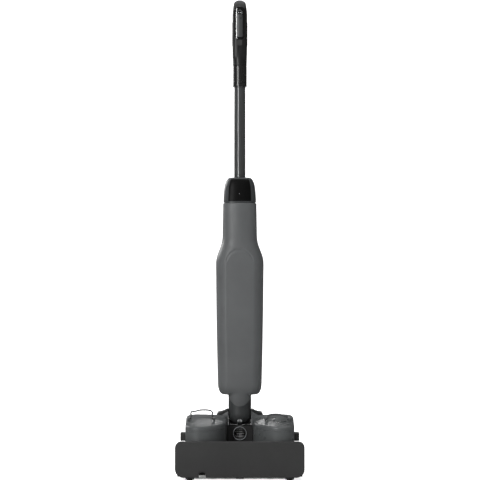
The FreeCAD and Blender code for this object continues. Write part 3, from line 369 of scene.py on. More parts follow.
def ring_stack(rings):
    """Vertices and faces of a solid: rings of points, closed by a face at each end."""
    count = len(rings[0])
    last = (len(rings) - 1) * count
    faces = grid_faces(len(rings), count, wrap=True)
    faces += [tuple(range(count)), tuple(range(last + count - 1, last - 1, -1))]
    return [p for ring in rings for p in ring], faces


def slab(name, front, back, body, finish, smooth=35.0):
    """A closed piece between two matching grids of points, joined round their edges."""
    rows = len(front)
    columns = len(front[0])
    verts = [p for row in front + back for p in row]
    count = rows * columns
    faces = grid_faces(rows, columns)
    faces += [tuple(reversed(f)) for f in grid_faces(rows, columns, count)]
    rim = list(range(columns))
    rim += [r * columns + columns - 1 for r in range(1, rows)]
    rim += [(rows - 1) * columns + c for c in range(columns - 2, -1, -1)]
    rim += [r * columns for r in range(rows - 2, 0, -1)]
    for i, a in enumerate(rim):
        b = rim[(i + 1) % len(rim)]
        faces.append((a, a + count, b + count, b))
    return new_piece(name, verts, faces, body, finish, smooth)


def plate(name, rows, columns, pair, body, finish):
    """A slab whose front and back points come from a function of the shares down and across."""
    grid = [[pair(down, across) for across in shares(columns)] for down in shares(rows)]
    front = [[points[0] for points in line] for line in grid]
    back = [[points[1] for points in line] for line in grid]
    return slab(name, front, back, body, finish, 50.0)


def turned(name, profile, centre, axis, body, finish, steps=64, smooth=35.0, shape=None):
    """A ring turned from a closed loop of (radius, place along the axis) points."""
    along = "xyz".index(axis)
    first = (along + 1) % 3
    second = (along + 2) % 3
    rings = []
    for radius, place in profile:
        ring = []
        for i in range(steps):
            angle = 2 * pi * i / steps
            reach = shape(radius, place, angle) if shape else radius
            point = [place, place, place]
            point[first] = centre[first] + reach * cos(angle)
            point[second] = centre[second] + reach * sin(angle)
            ring.append(tuple(point))
        rings.append(ring)
    return new_piece(name, *ring_loop(rings), body, finish, smooth)


def rounded_rim(inner, outer, low, high, soft, across):
    """Profile of a turned ring with rounded outer edges and even steps across its outside."""
    profile = [(inner, low)] + arc(outer - soft, low + soft, soft, -1, 0, 5)
    profile += [(outer, mix(low + soft, high - soft, share)) for share in shares(across)[1:-1]]
    return profile + arc(outer - soft, high - soft, soft, 0, 1, 5) + [(inner, high)]


# ---- upper body
# Sections are pairs of half width and half depth.

TUBE_LOW, TUBE_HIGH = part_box("handle_tube")
AXIS_Y = (TUBE_LOW.y + TUBE_HIGH.y) / 2
BODY_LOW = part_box("body_rear_shell")[0].z
BODY_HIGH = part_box("body_rear_shell")[1].z
BUSH_WALL = 0.0046
NECK_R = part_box("neck_bush")[1].x - BUSH_WALL
FOOT_ROUND = 0.023
FOOT_PULL = 0.0115
FRONT_PULL = 0.0102
SHOULDER_LOW = 0.505
SHOULDER_HIGH = 0.569
FOOT = (0.0518, 0.0384)
CHEST = (0.0572, 0.0414)
WAIST = (0.0414, 0.0340)
TOP = (0.0400, 0.0330)
SIDE_BOW = 0.00085
SQUARENESS = 2.7
FLANK_SQUARENESS = 2.15
FACE_FULL = 1.01
FACE_DEPTH = 0.908
FACE_CROWN = 0.0030
FACE_BLEND = 0.0008
CREASE_WIDE = 0.0006
CREASE_DIP = 0.0012
CREASE_FADE = 0.012
ARCH_LOW = 0.5221
ARCH_HIGH = 0.5482
ARCH_STEPS = 58
SKIN = 0.0022
GROOVE = 0.0005
BROW_ROUND = 0.0008
BROW_PULL = 0.02
PIVOT_PLACE = (0.015, 0.146)
TONGUE_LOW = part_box("body_front_shell")[0].z
TONGUE_SIDE_LOW = TONGUE_LOW + 0.0185
TONGUE_HALF = 0.0252
TONGUE_THIN = 0.0017
TONGUE_THICK = 0.0050
TONGUE_BLEND = 0.003
TONGUE_CLEAR = 0.0005
SIDE_CLOSE = 12


def body_section(z):
    """Half width and half depth, without the foot's rounding."""
    if z < SHOULDER_LOW:
        share = (z - BODY_LOW) / (SHOULDER_LOW - BODY_LOW)
        bow = SIDE_BOW * sin(pi * max(0.0, share))
        return mix(FOOT[0], CHEST[0], share) + bow, mix(FOOT[1], CHEST[1], share)
    if z < SHOULDER_HIGH:
        share = (1 - cos(pi * (z - SHOULDER_LOW) / (SHOULDER_HIGH - SHOULDER_LOW))) / 2
        return mix(CHEST[0], WAIST[0], share), mix(CHEST[1], WAIST[1], share)
    share = (z - SHOULDER_HIGH) / (BODY_HIGH - SHOULDER_HIGH)
    return mix(WAIST[0], TOP[0], share), mix(WAIST[1], TOP[1], share)


def foot_round(z):
    """How far into the rounded foot a height is: 1 at the very bottom, 0 above the rounding."""
    short = min(1.0, max(0.0, 1 - (z - BODY_LOW) / FOOT_ROUND))
    return 1 - sqrt(1 - short ** 2)


def front_point(angle, z):
    """A point on the front shell: a flat face that ends in an arch at the shoulder, and a tongue below."""
    held = max(z, BODY_LOW)
    wide, deep = body_section(held)
    sunk = foot_round(held)
    high_up = ease((z - SHOULDER_HIGH) / (BODY_HIGH - SHOULDER_HIGH))
    out = abs(sin(angle)) ** (2 / mix(FLANK_SQUARENESS, SQUARENESS, high_up))
    x = (wide - FOOT_PULL * sunk) * squared(cos(angle), 2 / SQUARENESS)
    reach = 0.0
    if z >= BODY_LOW:
        full = (deep * FACE_FULL - FRONT_PULL * sunk) * out
        face = (min(deep, CHEST[1]) if z < SHOULDER_LOW else CHEST[1]) * FACE_DEPTH
        face -= FRONT_PULL * sunk + FACE_CROWN * (x / CHEST[0]) ** 2
        near = (full - face - CREASE_WIDE) / CREASE_WIDE
        reach = soft_lower(full, face, FACE_BLEND)
        reach -= CREASE_DIP * exp(-near * near) * ease((z - SHOULDER_LOW) / CREASE_FADE)
    down = min(1.5, (z - TONGUE_LOW) / (BODY_LOW - TONGUE_LOW))
    radius = NECK_R + mix(TONGUE_THIN, TONGUE_THICK, down)
    if abs(x) < radius:
        tongue = sqrt(radius ** 2 - x ** 2)
        reach = soft_upper(reach, tongue, TONGUE_BLEND) if z >= BODY_LOW else tongue
    return Vector((x, AXIS_Y - reach * min(1.0, out * SIDE_CLOSE), z))


def column_foot(angle):
    """The lowest height of the front shell at one angle: the tongue's U, or the body's flat foot."""
    x = front_point(angle, BODY_LOW).x
    if abs(x) > TONGUE_HALF:
        return BODY_LOW
    return mix(TONGUE_LOW, TONGUE_SIDE_LOW, (abs(x) / TONGUE_HALF) ** 2.3)


def inner_skin(p):
    """The place behind an outer one: the wall's thickness in, or on the neck's bore inside the tongue."""
    if p.z < BODY_LOW + 0.002 and abs(p.x) < NECK_R:
        return Vector((p.x, AXIS_Y - sqrt((NECK_R + TONGUE_CLEAR) ** 2 - p.x ** 2), p.z))
    middle = Vector((0, AXIS_Y, p.z))
    return middle + (p - middle) * (1 - SKIN / (p - middle).length)


def body_front():
    """Front shell, from side to side round the front, with a parting groove along both edges."""
    count = 120
    nudge = radians(0.8)
    turns = [0.0, nudge] + [pi * i / count for i in range(1, count)] + [pi - nudge, pi]
    angles = [pi + turn for turn in turns]
    feet = [column_foot(a) for a in angles]
    foot_top = BODY_LOW + FOOT_ROUND
    rows = []
    for share in shares(22)[:-1]:
        rows.append([front_point(a, mix(f, foot_top, share ** 1.25)) for a, f in zip(angles, feet)])
    heights = [mix(foot_top, BODY_HIGH - BROW_ROUND, share) for share in shares(150)]
    heights = [z for z in heights if not ARCH_LOW < z < ARCH_HIGH]
    heights += [mix(ARCH_LOW, ARCH_HIGH, share) for share in shares(ARCH_STEPS)]
    rows += [[front_point(a, z) for a in angles] for z in sorted(heights)]
    rows.append([p + Vector((-p.x * BROW_PULL, (AXIS_Y - p.y) * BROW_PULL, BROW_ROUND)) for p in rows[-1]])
    for row in rows:
        for end in (0, -1):
            row[end] = row[end] - Vector((copysign(GROOVE, row[end].x), 0, 0))
    inner = [[inner_skin(p) for p in row] for row in rows]
    piece = slab("body_front", rows, inner, "upper_body", "charcoal_plastic", 42.0)
    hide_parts("body_front_shell")
    closing_floor(angles)


def closing_floor(angles):
    """The flat foot of the front shell, between its outer edge and the hole for the neck."""
    raised = Vector((0, 0, 0.0001))
    middle = Vector((0, AXIS_Y, BODY_LOW)) + raised
    outer = [front_point(a, BODY_LOW) + raised for a in angles]
    inner = [middle + (p - middle).normalized() * (NECK_R + 0.0006) for p in outer]
    top = [[p + Vector((0, 0, SKIN)) for p in row] for row in (outer, inner)]
    slab("body_front_floor", [outer, inner], top, "upper_body", "charcoal_plastic")


# ---- top cap and display

CAP_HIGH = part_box("top_cap")[1].z
CAP_SHAPE = (
    (0.649, 0.0372, 0.0308),
    (0.6515, 0.0372, 0.0308),
    (0.652, 0.0390, 0.0324),
    (0.6545, 0.0391, 0.0325),
    (0.668, 0.0385, 0.0322),
    (0.682, 0.0375, 0.0314),
    (0.690, 0.0364, 0.0306),
    (0.697, 0.0346, 0.0293),
    (0.7030, 0.0325, 0.0276),
    (0.7070, 0.0303, 0.0258),
    (0.7095, 0.0277, 0.0236),
    (0.7105, 0.0245, 0.0208),
)
CAP_CURVE_LOW = 0.656
CAP_BLUR = 0.004
PANEL_LOW = CAP_SHAPE[2][0] + 0.0016
PANEL_HIGH = 0.7072
PANEL_SHARE = 0.70
PANEL_PROUD = 0.00035
PANEL_LIP = 0.0008


def cap_point(angle, z, grow=0.0):
    """A point on the cap; above its foot the section is averaged, so that the sides run in one curve."""
    span = min(CAP_BLUR, CAP_HIGH - z) if z >= CAP_CURVE_LOW else 0.0
    parts = [between(CAP_SHAPE, z + span * k / 4) for k in (range(-4, 5) if span else (0,))]
    wide, deep = [sum(values) / len(parts) for values in zip(*parts)]
    x = (wide + grow) * squared(cos(angle), 2 / SQUARENESS)
    y = (deep + grow) * squared(sin(angle), 2 / SQUARENESS)
    return Vector((x, AXIS_Y + y, z))


def top_cap():
    """Cap over the top of the body, with a hole for the tube."""
    steps = 160
    turn = [2 * pi * (i + 0.5) / steps for i in range(steps)]
    heights = [mix(a[0], b[0], share) for a, b in zip(CAP_SHAPE, CAP_SHAPE[1:]) for share in shares(4)[:-1]]
    rows = [[cap_point(a, z) for a in turn] for z in heights + [CAP_SHAPE[-1][0]]]
    hole = (TUBE_HIGH.x - TUBE_LOW.x) / 2 + 0.0001
    for radius, z in ((hole * 1.25, CAP_HIGH), (hole, CAP_HIGH - 0.001), (hole, BODY_HIGH)):
        rows.append([Vector((radius * cos(a), AXIS_Y + radius * sin(a), z)) for a in turn])
    piece = new_piece("cap", *ring_loop(rows), "upper_body", "cap_grey", 40.0)
    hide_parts("top_cap")


def panel_angle(share):
    """The angle on the cap's front whose x is a share of the half width."""
    c = squared(share, SQUARENESS / 2)
    return -acos(max(-1.0, min(1.0, c)))


def display_panel():
    """Dark window that stands a little proud of the cap's front."""

    def pair(down, across):
        z = mix(PANEL_LOW, PANEL_HIGH, down)
        share = mix(-PANEL_SHARE, PANEL_SHARE, across)
        inset = min((PANEL_SHARE - abs(share)) * 0.038, z - PANEL_LOW, PANEL_HIGH - z)
        lift = PANEL_PROUD * pillow(min(1.0, inset / PANEL_LIP)) + 0.00002
        return cap_point(panel_angle(share), z, lift), cap_point(panel_angle(share), z, -0.0012)

    piece = plate("display_glass", 44, 60, pair, "upper_body", "panel_black")
    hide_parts("display_panel")


# ---- handle

(_, LOOP_FRONT, LOOP_LOW), (_, LOOP_REAR, LOOP_HIGH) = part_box("handle_left_shell")
LOOP_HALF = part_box("handle_right_shell")[1].x
SOCKET_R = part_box("handle_collar")[1].x + 0.0001
SOCKET_TALL = 0.031
SOCKET_DEEP = 0.0176
GAP_MIDDLE = (AXIS_Y + 0.0265, LOOP_LOW + 0.0835)
GAP_LOW = (GAP_MIDDLE[0] - 0.0185, GAP_MIDDLE[1] - 0.050)
GAP_HIGH = (GAP_MIDDLE[0] + 0.0185, GAP_MIDDLE[1] + 0.050)
HANDLE_SQUARE = 2.75
HANDLE_OUTER = rounded_box(
    (LOOP_FRONT, LOOP_LOW + 0.007), (LOOP_REAR, LOOP_HIGH), (0.034, 0.030, 0.040, 0.012))
HANDLE_INNER = rounded_box(GAP_LOW, GAP_HIGH, (0.016,) * 4)
SEAM_GAP = 0.00005
SEAM_ROUND = 0.0006
SEAM_SLIM = 0.0004
SEAM_TONGUE = 0.0002
SEAM_LAP = 0.00005
GRIP_THICK = 0.0011
GRIP_RIB = 0.00035


def handle_half_width(z):
    """Half width of the handle: fullest at the grip, drawn in at the crown and towards the collar."""
    top = 1 - 0.15 * (1 - ease((LOOP_HIGH - z - 0.010) / 0.030))
    foot = 1 - (1 - SOCKET_R / LOOP_HALF) * (1 - ease((z - LOOP_LOW) / 0.045))
    return LOOP_HALF * top * foot


def handle_section(turn):
    """Middle, outward direction, half thickness and half width of the loop at one turn about the gap."""
    inner = ray_length(HANDLE_INNER, GAP_MIDDLE, turn)
    outer = ray_length(HANDLE_OUTER, GAP_MIDDLE, turn)
    out = Vector((0, cos(turn), sin(turn)))
    middle = Vector((0, *GAP_MIDDLE)) + out * ((inner + outer) / 2)
    return middle, out, (outer - inner) / 2, handle_half_width(middle.z)


def section_point(section, angle, grow=0.0, slim=0.0):
    """A point on one section, with both half sizes grown or only its thickness slimmed."""
    middle, out, thick, wide = section
    x = (wide + grow) * squared(cos(angle), 2 / HANDLE_SQUARE)
    reach = (thick + grow - slim) * squared(sin(angle), 2 / HANDLE_SQUARE)
    return middle + Vector((x, 0, 0)) + out * reach


def loop_half(side):
    """One half of the loop: a round skin from the gap to the outside, closed by a seam near x = 0."""
    turns = 200
    flat = 4
    lead = 0.0 if side > 0 else pi
    angles = [lead + side * radians(180 * share - 90) for share in shares(22)]
    rings = []
    for t in range(turns):
        section = handle_section(2 * pi * t / turns)
        line = [section_point(section, a) for a in angles]
        shoulder = line[0].copy()
        shoulder.x = side * SEAM_ROUND
        for end in (0, -1):
            line[end] = section_point(section, angles[end], slim=SEAM_SLIM)
            line[end].x = side * SEAM_GAP
        line.insert(1, shoulder)
        seam = [line[-1].lerp(line[0], i / flat) for i in range(1, flat)]
        seam[flat // 2 - 1].x = -side * SEAM_TONGUE
        rings.append(line + seam)
    return ring_loop(rings)


def socket_half(side):
    """The foot that takes the collar and grows into the loop, one side of it."""
    angles = [radians(180 * share - 90) for share in shares(28)]
    rings = []
    for share in shares(12):
        grown = ease(share)
        wide = mix(SOCKET_R, LOOP_HALF * 0.965, grown)
        deep = mix(SOCKET_R, SOCKET_DEEP, grown)
        middle = AXIS_Y + 0.0013 * grown
        power = 2 / mix(2.0, 2.5, grown)
        z = mix(LOOP_LOW, LOOP_LOW + SOCKET_TALL, share)
        xs = [side * max(-SEAM_LAP, wide * abs(cos(a)) ** power) for a in angles]
        ys = [middle + deep * squared(sin(a), power) for a in angles]
        rings.append([Vector((x, y, z)) for x, y in zip(xs, ys)])
    return ring_stack(rings)


def handle():
    """Both halves, each with its part of the socket."""
    for side, name, node in ((-1, "grip_left", "handle_left_shell"), (1, "grip_right", "handle_right_shell")):
        verts, faces = loop_half(side)
        more, extra = socket_half(side)
        faces += [tuple(i + len(verts) for i in face) for face in extra]
        piece = new_piece(name, verts + more, faces, "upper_body", "handle_black", 40.0)
        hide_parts(node)


def grip_cover():
    """Soft sleeve round the back of the loop, ribbed across where the fingers close on it."""
    low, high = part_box("grip_pad")
    back = LOOP_REAR - 0.001 - GAP_MIDDLE[0]
    start = atan2(low.z - GAP_MIDDLE[1], back)
    end = atan2(high.z - GAP_MIDDLE[1], back)
    turns = 120
    across_steps = 30

    def pair(down, across):
        section = handle_section(mix(start, end, down))
        edge = min(1.0, min(down, 1 - down) * turns / 3)
        side_edge = min(1.0, min(across, 1 - across) * across_steps / 2)
        rib = GRIP_RIB * (0.5 + 0.5 * cos(2 * pi * down * turns / 6))
        grow = (GRIP_THICK * pillow(edge) - rib * edge) * side_edge + 0.00005
        angle = radians(mix(-38, 218, across))
        return section_point(section, angle, grow), section_point(section, angle, -0.0008)

    piece = plate("grip_sleeve", turns, across_steps, pair, "upper_body", "rubber")
    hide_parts("grip_pad")


def front_surface(x, z):
    """The handle's front skin, as a depth at one place."""
    thick = (GAP_LOW[0] - LOOP_FRONT) / 2
    bulge = (1 - min(1.0, abs(x) / handle_half_width(z)) ** HANDLE_SQUARE) ** (1 / HANDLE_SQUARE)
    return LOOP_FRONT + thick * (1 - bulge)


def pill_patch(name, finish, half, low, high, proud, crown, lip, corner):
    """A crowned plate with rounded ends laid on the handle's front."""

    def pair(down, across):
        z = mix(low, high, (1 - cos(pi * down)) / 2)
        end = min(z - low, high - z)
        tuck = corner - sqrt(max(0.0, corner ** 2 - (corner - end) ** 2)) if end < corner else 0.0
        span = max(0.0002, half - tuck)
        x = mix(-span, span, (1 - cos(pi * across)) / 2)
        edge = max(0.0, min(1.0, min(span - abs(x), end) / lip))
        lift = proud * pillow(edge) + crown * (1 - (x / half) ** 2) * sqrt(edge)
        skin = front_surface(x, z)
        return Vector((x, skin - lift, z)), Vector((x, skin + 0.0008, z))

    return plate(name, 90, 26, pair, "upper_body", finish)


def front_trim():
    """Glossy bezel down the handle's front, with a grey inset."""
    top = LOOP_HIGH - 0.0185
    low = LOOP_HIGH - 0.099
    bezel = pill_patch("trim_bezel", "gloss_black", 0.0124, low, top, 0.0004, 0.0009, 0.0014, 0.0110)
    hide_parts("handle_front_trim")
    pill_patch("trim_inset", "trim_grey", 0.0070, low + 0.006, top - 0.0195, 0.0012, 0.0010, 0.0005, 0.0030)


# ---- lights on the trim and the display

ON_AXIS = 0.00001
LENS_R = 0.0011
LENS_STEM = 0.0012
LIGHT_Z = 1.107
PANEL_LIGHT_Z = 0.671


def bead(name, radius, wire_r, centre, body, steps):
    """A fine ring that faces forwards."""
    profile = circle(wire_r, 12, (radius, centre[1]))
    return turned(name, profile, centre, "y", body, "satin_grey", steps, 60.0)


def dome(name, height, centre, finish):
    """A shallow round lens that faces forwards, with a short stem behind it."""
    y = centre[1]
    profile = [(ON_AXIS, y + LENS_STEM), (LENS_R, y + LENS_STEM), (LENS_R, y)]
    for share in shares(7)[1:]:
        angle = pi / 2 * share
        profile.append((max(ON_AXIS, LENS_R * cos(angle)), y - height * sin(angle)))
    return turned(name, profile, centre, "y", "upper_body", finish, 32, 60.0)


def status_lights():
    """Two lights in a ring on the trim, and one on the display."""
    ahead = front_surface(0, LIGHT_Z) - 0.0013
    bead("light_ring", 0.0056, 0.00028, (0, ahead, LIGHT_Z), "upper_body", 48)
    first = dome("light_left", 0.0004, (-0.0026, ahead, LIGHT_Z), "lens")
    dome("light_right", 0.0004, (0.0026, ahead, LIGHT_Z), "lens")
    panel_y = cap_point(panel_angle(0.0), PANEL_LIGHT_Z, PANEL_PROUD).y
    dome("light_panel", 0.0003, (-0.001, panel_y, PANEL_LIGHT_Z), "satin_grey")
    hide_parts("indicator_lenses")


# ---- head details

BOOT_RIBS = 8
BOOT_WALL = 0.0042
BOOT_WAVE = 0.0030
RING_WALL = 0.0040
RING_LIP = 0.0016
BEAD_R = 0.0008
NOTCH_X = -0.087
NOTCH_HALF = 0.0082
NOTCH_RISE = 0.0110
NOTCH_BROW = 0.0070
BROW_DEEP = 0.0015
BROW_FIT = 0.985
BUTTON_HALF = 0.0031
PILE_SOFT = 0.003
PILE_FROM = 0.026
NAP = 420
TYRE_WALL = 0.006
TYRE_SOFT = 0.0025
TREAD_DEEP = 0.0009


def boot():
    """Rubber bellows: rounded convolutions with narrow valleys."""
    low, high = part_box("corrugated_boot")
    radius = (high.x - low.x) / 2
    top = high.z - 0.001
    profile = [(radius - BOOT_WALL, low.z)]
    for share in shares(BOOT_RIBS * 12):
        wave = abs(sin(pi * BOOT_RIBS * share))
        profile.append((radius - BOOT_WAVE * (1 - wave), mix(low.z, top, share)))
    profile.append((radius - BOOT_WALL, top))
    piece = turned("boot_bellows", profile, (low + high) / 2, "z", "head", "boot_rubber", 72, 50.0)
    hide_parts("corrugated_boot")


def notch_painted_shade():
    """Black inlay in the half-round brow above the notch in the front cover's lower edge: painted shade, so
    that the brow looks like a recess in shadow.
    """
    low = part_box("front_cover")[0]
    seat = low.y + BROW_DEEP
    across_steps = 24

    def pair(down, across):
        turn = pi * (across * across_steps + 0.3) / (across_steps + 0.6)
        x = NOTCH_X + NOTCH_HALF * cos(turn) * BROW_FIT
        z = low.z + NOTCH_RISE + NOTCH_BROW * sin(turn) * down * BROW_FIT
        proud = 0.0004 + 0.0005 * (1 - down) * sin(turn)
        return Vector((x, seat - proud, z)), Vector((x, seat + 0.0002, z))

    # The black inlay is painted shade: it darkens the brow where the recess would lie in shadow.
    plate("notch_painted_shade", 8, across_steps, pair, "front_cover", "panel_black")


def port_bezel():
    """Dark collar round the window with a fine light bead on it."""
    low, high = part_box("port_ring")
    middle = (low + high) / 2
    outer = (high.x - low.x) / 2
    inner = outer - RING_WALL
    shelf = low.y + 0.0010
    lip = low.y + RING_LIP
    profile = [(inner, high.y), (outer, high.y), (outer, lip), (outer - 0.0006, shelf)]
    profile += [(inner + 0.0006, shelf), (inner, lip)]
    piece = turned("port_collar", profile, middle, "y", "head", "black_plastic", 72, 40.0)
    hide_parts("port_ring")
    bead("port_bead", outer - 0.0011, BEAD_R, (middle.x, low.y + 0.0009, middle.z), "head", 96)


def button_pad(name, x0, x1, proud):
    """One half of the neck's button, a small cushion facing forward and down."""
    drop = radians(39.0)
    out = Vector((0, -cos(drop), -sin(drop)))
    up = Vector((0, -sin(drop), cos(drop)))
    base = Vector((0, *PIVOT_PLACE)) + out * (NECK_R - 0.0006)

    def pair(down, across):
        u = mix(-1, 1, across)
        v = mix(-1, 1, down)
        corner = 1 - 0.12 * u * u * v * v
        sideways = Vector((mix(x0, x1, (u * corner + 1) / 2), 0, 0))
        place = base + sideways + up * (BUTTON_HALF * v * corner)
        fall = (1 - abs(u) ** 6) * (1 - abs(v) ** 6)
        return place + out * (0.0006 + proud * fall ** 0.5), place - out * 0.0030

    return plate(name, 18, 18, pair, "neck_button", "satin_light")


def neck_button():
    left = button_pad("button_left", -0.0056, -0.0004, 0.0013)
    button_pad("button_right", 0.0004, 0.0056, 0.0009)
    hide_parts("neck_button")


def sleeve_nap(radius, place, angle):
    """The pile's tufts: a fine random depth, combed into a shallow spiral."""
    if radius < PILE_FROM:
        return radius
    spot = Vector((place * NAP, cos(angle) * radius * NAP, sin(angle) * radius * NAP))
    tuft = noise.noise(spot)
    broad = noise.noise(spot * 0.13)
    comb = sin(angle * 3 + place * 190)
    return radius - 0.0006 + 0.0005 * tuft + 0.00035 * broad + 0.00025 * comb


def roller_pile():
    """The mop roller's sleeve."""
    low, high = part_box("roller_sleeve")
    core_low, core_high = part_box("roller_core")
    core = (core_high.z - core_low.z) / 2
    profile = rounded_rim(core, (high.z - low.z) / 2, low.x, high.x, PILE_SOFT, 210)
    piece = turned(
        "roller_pile", profile, (low + high) / 2, "x", "mop_roller", "microfibre", 200, 80.0, sleeve_nap)
    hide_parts("roller_sleeve")


def tyres():
    """Both rear tyres, with cross grooves that alternate from side to side."""
    for side in ("left", "right"):
        node = f"wheel_tyre_{side}"
        low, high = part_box(node)
        centre = (low + high) / 2
        outer = (high.z - low.z) / 2

        def tread(radius, place, angle):
            if radius < outer - 0.0035:
                return radius
            shift = 0.5 if place > centre.x else 0.0
            phase = (angle * 30 / (2 * pi) + shift + (place - centre.x) * 40) % 1.0
            cut = ease((0.16 - abs(phase - 0.5)) / 0.06)
            ring = ease((0.0012 - abs(place - centre.x)) / 0.0005)
            return radius - TREAD_DEEP * max(cut, ring)

        profile = rounded_rim(outer - TYRE_WALL, outer, low.x, high.x, TYRE_SOFT, 24)
        piece = turned(f"tyre_{side}", profile, centre, "x", f"wheel_{side}", "tyre", 360, 40.0, tread)
        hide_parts(node)


# ---- tanks
# Places are given for the right tank; the left one is its mirror image.

LID_TOP = 0.1415
LID_ANGLE = radians(9.5)
LID_DEEP = 0.011
LIP = 0.0042
LIP_FROM = -0.0150
LIP_RUN = 0.0085
EDGE_ROLL = 0.0040
TANK_IN = 0.033
(_, TANK_FRONT, TANK_LOW), (TANK_OUT, TANK_REAR, _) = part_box("clean_tank_shell")
TANK_CORNERS = ((-1, 0.034, 16), (0, 0.010, 12), (1, 0.005, 8))
SPIGOT = (0.084, -0.040)
SPIGOT_R = 0.0084
SWEEP_X = 0.092
SWEEP_Y = TANK_REAR - 0.014
CROWN_X = 0.097
CROWN_IN = 0.0035
CROWN_OUT = 0.0032
FILLER = (0.102, -0.074)
FILLER_R = 0.013
FLAP_THICK = 0.0011
PLUG_R = FILLER_R - 0.0042
BARREL_R = 0.0016
BARREL_HALF = 0.007
BARREL_ROUND = 0.0004
BAIL_Y = -0.044
BAIL_RISE = 0.0027
BAIL_IN = 0.065
BAIL_OUT = 0.116
BAIL_ARM = 0.031
BAIL_WIRE = 0.0018
BAIL_PIN = 0.0058
BAIL_STEP = 0.0040
EAR_R = 0.0042
EAR_FOOT = -0.0090
EAR_OFFSET = 0.0046
EAR_SLICES = ((-0.0024, 0.86), (-0.0019, 1.0), (0.0019, 1.0), (0.0024, 0.86))


def sweep_through(a, b, c, steps):
    """Points on the circle through three places, without the last one."""
    a, b, c = (complex(*place) for place in (a, b, c))
    ratio = (c - a) / (b - a)
    middle = a + (b - a) * (ratio - abs(ratio) ** 2) / (2j * ratio.imag)
    turn = phase((c - middle) / (a - middle))
    points = [middle + (a - middle) * rect(1.0, turn * share) for share in shares(steps)[:-1]]
    return [(p.real, p.imag) for p in points]


def tank_plan():
    """Plan of the right tank: the inner front corner is a long sweep beside the neck."""
    bend = (mix(TANK_IN, SWEEP_X, 0.24), mix(TANK_FRONT, SWEEP_Y, 0.30))
    points = sweep_through((TANK_IN, SWEEP_Y), bend, (SWEEP_X, TANK_FRONT), 30)
    for quarter, radius, steps in TANK_CORNERS:
        x = TANK_IN + radius if quarter > 0 else TANK_OUT - radius
        y = TANK_FRONT + radius if quarter < 0 else TANK_REAR - radius
        points += arc(x, y, radius, quarter, quarter + 1, steps)[:-1]
    return points


TANK_PLAN = tank_plan()


def lip_rise(y):
    return LIP * ease((y - LIP_FROM) / LIP_RUN)


def lid_height(x, y):
    """Height of the lid's top: a slope to the front, crowned across, with a raised lip along the back."""
    crown = CROWN_IN * ((CROWN_X - x) / (CROWN_X - TANK_IN)) ** 2
    if x > CROWN_X:
        crown = CROWN_OUT * ((x - CROWN_X) / (TANK_OUT - CROWN_X)) ** 2
    return LID_TOP + (y - TANK_REAR) * tan(LID_ANGLE) - crown + lip_rise(y)


def roll_off(x, y):
    """How far the lid's soft edge drops at one place."""
    x -= SPIGOT[0]
    y -= SPIGOT[1]
    wall = ray_length(TANK_PLAN, SPIGOT, atan2(y, x))
    over = min(1.0, max(0.0, (hypot(x, y) - (wall - EDGE_ROLL)) / EDGE_ROLL))
    return EDGE_ROLL * (1 - sqrt(1 - over ** 2))


def on_slope(x, y, z):
    """A place given from the lid's rear edge along the slope, in the frame."""
    c = cos(LID_ANGLE)
    s = sin(LID_ANGLE)
    return Vector((x, TANK_REAR + y * c - z * s, LID_TOP + y * s + z * c))


def tank_rings(side):
    """Rings from the middle of the lid, over its edge, down the wall and under the bottom."""
    spokes = []
    for c, s in circle(1.0, 200):
        spokes.append((c, s, ray_length(TANK_PLAN, SPIGOT, atan2(s, c))))
    rings = []

    def ring(reach, height):
        """Adds a ring: its reach depends on the wall's, its height on its own place and the wall's."""
        line = []
        for c, s, wall in spokes:
            place = (SPIGOT[0] + reach(wall) * c, SPIGOT[1] + reach(wall) * s)
            edge = (SPIGOT[0] + wall * c, SPIGOT[1] + wall * s)
            line.append(Vector((side * place[0], place[1], height(place, edge))))
        rings.append(line)

    def seam(edge):
        return lid_height(*edge) - LID_DEEP - lip_rise(edge[1])

    for share in shares(34):
        ring(lambda w: (w - EDGE_ROLL) * max(0.004, share), lambda p, e: lid_height(*p))
    for share in shares(7)[1:]:
        out = sin(pi / 2 * share)
        drop = 1 - cos(pi / 2 * share)
        ring(lambda w: w - EDGE_ROLL + EDGE_ROLL * out, lambda p, e: lid_height(*p) - EDGE_ROLL * drop)
    for sink, off in ((0.0, 0.0005), (0.0007, 0.00025), (0.0007, -0.00025), (0.0, -0.0005)):
        ring(lambda w: w - sink, lambda p, e: seam(e) + off)
    for share in shares(6)[1:]:
        ring(lambda w: w, lambda p, e: mix(seam(e) - 0.0005, TANK_LOW + 0.002, share))
    ring(lambda w: w - 0.0007, lambda p, e: TANK_LOW + 0.0007)
    ring(lambda w: w - 0.002, lambda p, e: TANK_LOW)
    ring(lambda w: 0.0005, lambda p, e: TANK_LOW)
    return rings


def cross_bar(outline, x0, x1):
    """Vertices and faces of a bar that runs across the machine, from its outline in the YZ plane."""
    return ring_stack([[Vector((x, y, z)) for y, z in outline] for x in (x0, x1)])


def carve(piece, cutters, finish, smooth):
    """Cut each cutter out of a piece, leaving the piece's own mesh clean."""
    for cutter in cutters:
        change = piece.modifiers.new("cut", "BOOLEAN")
        change.operation = "DIFFERENCE"
        change.solver = "EXACT"
        change.object = cutter
    bpy.context.view_layer.update()
    shape = piece.evaluated_get(bpy.context.evaluated_depsgraph_get())
    mesh = bpy.data.meshes.new_from_object(shape)
    piece.modifiers.clear()
    old = piece.data
    piece.data = mesh
    bpy.data.meshes.remove(old)
    for cutter in cutters:
        bpy.data.objects.remove(cutter)
    smooth_by_angle(piece, smooth)
    paint(piece, finish)


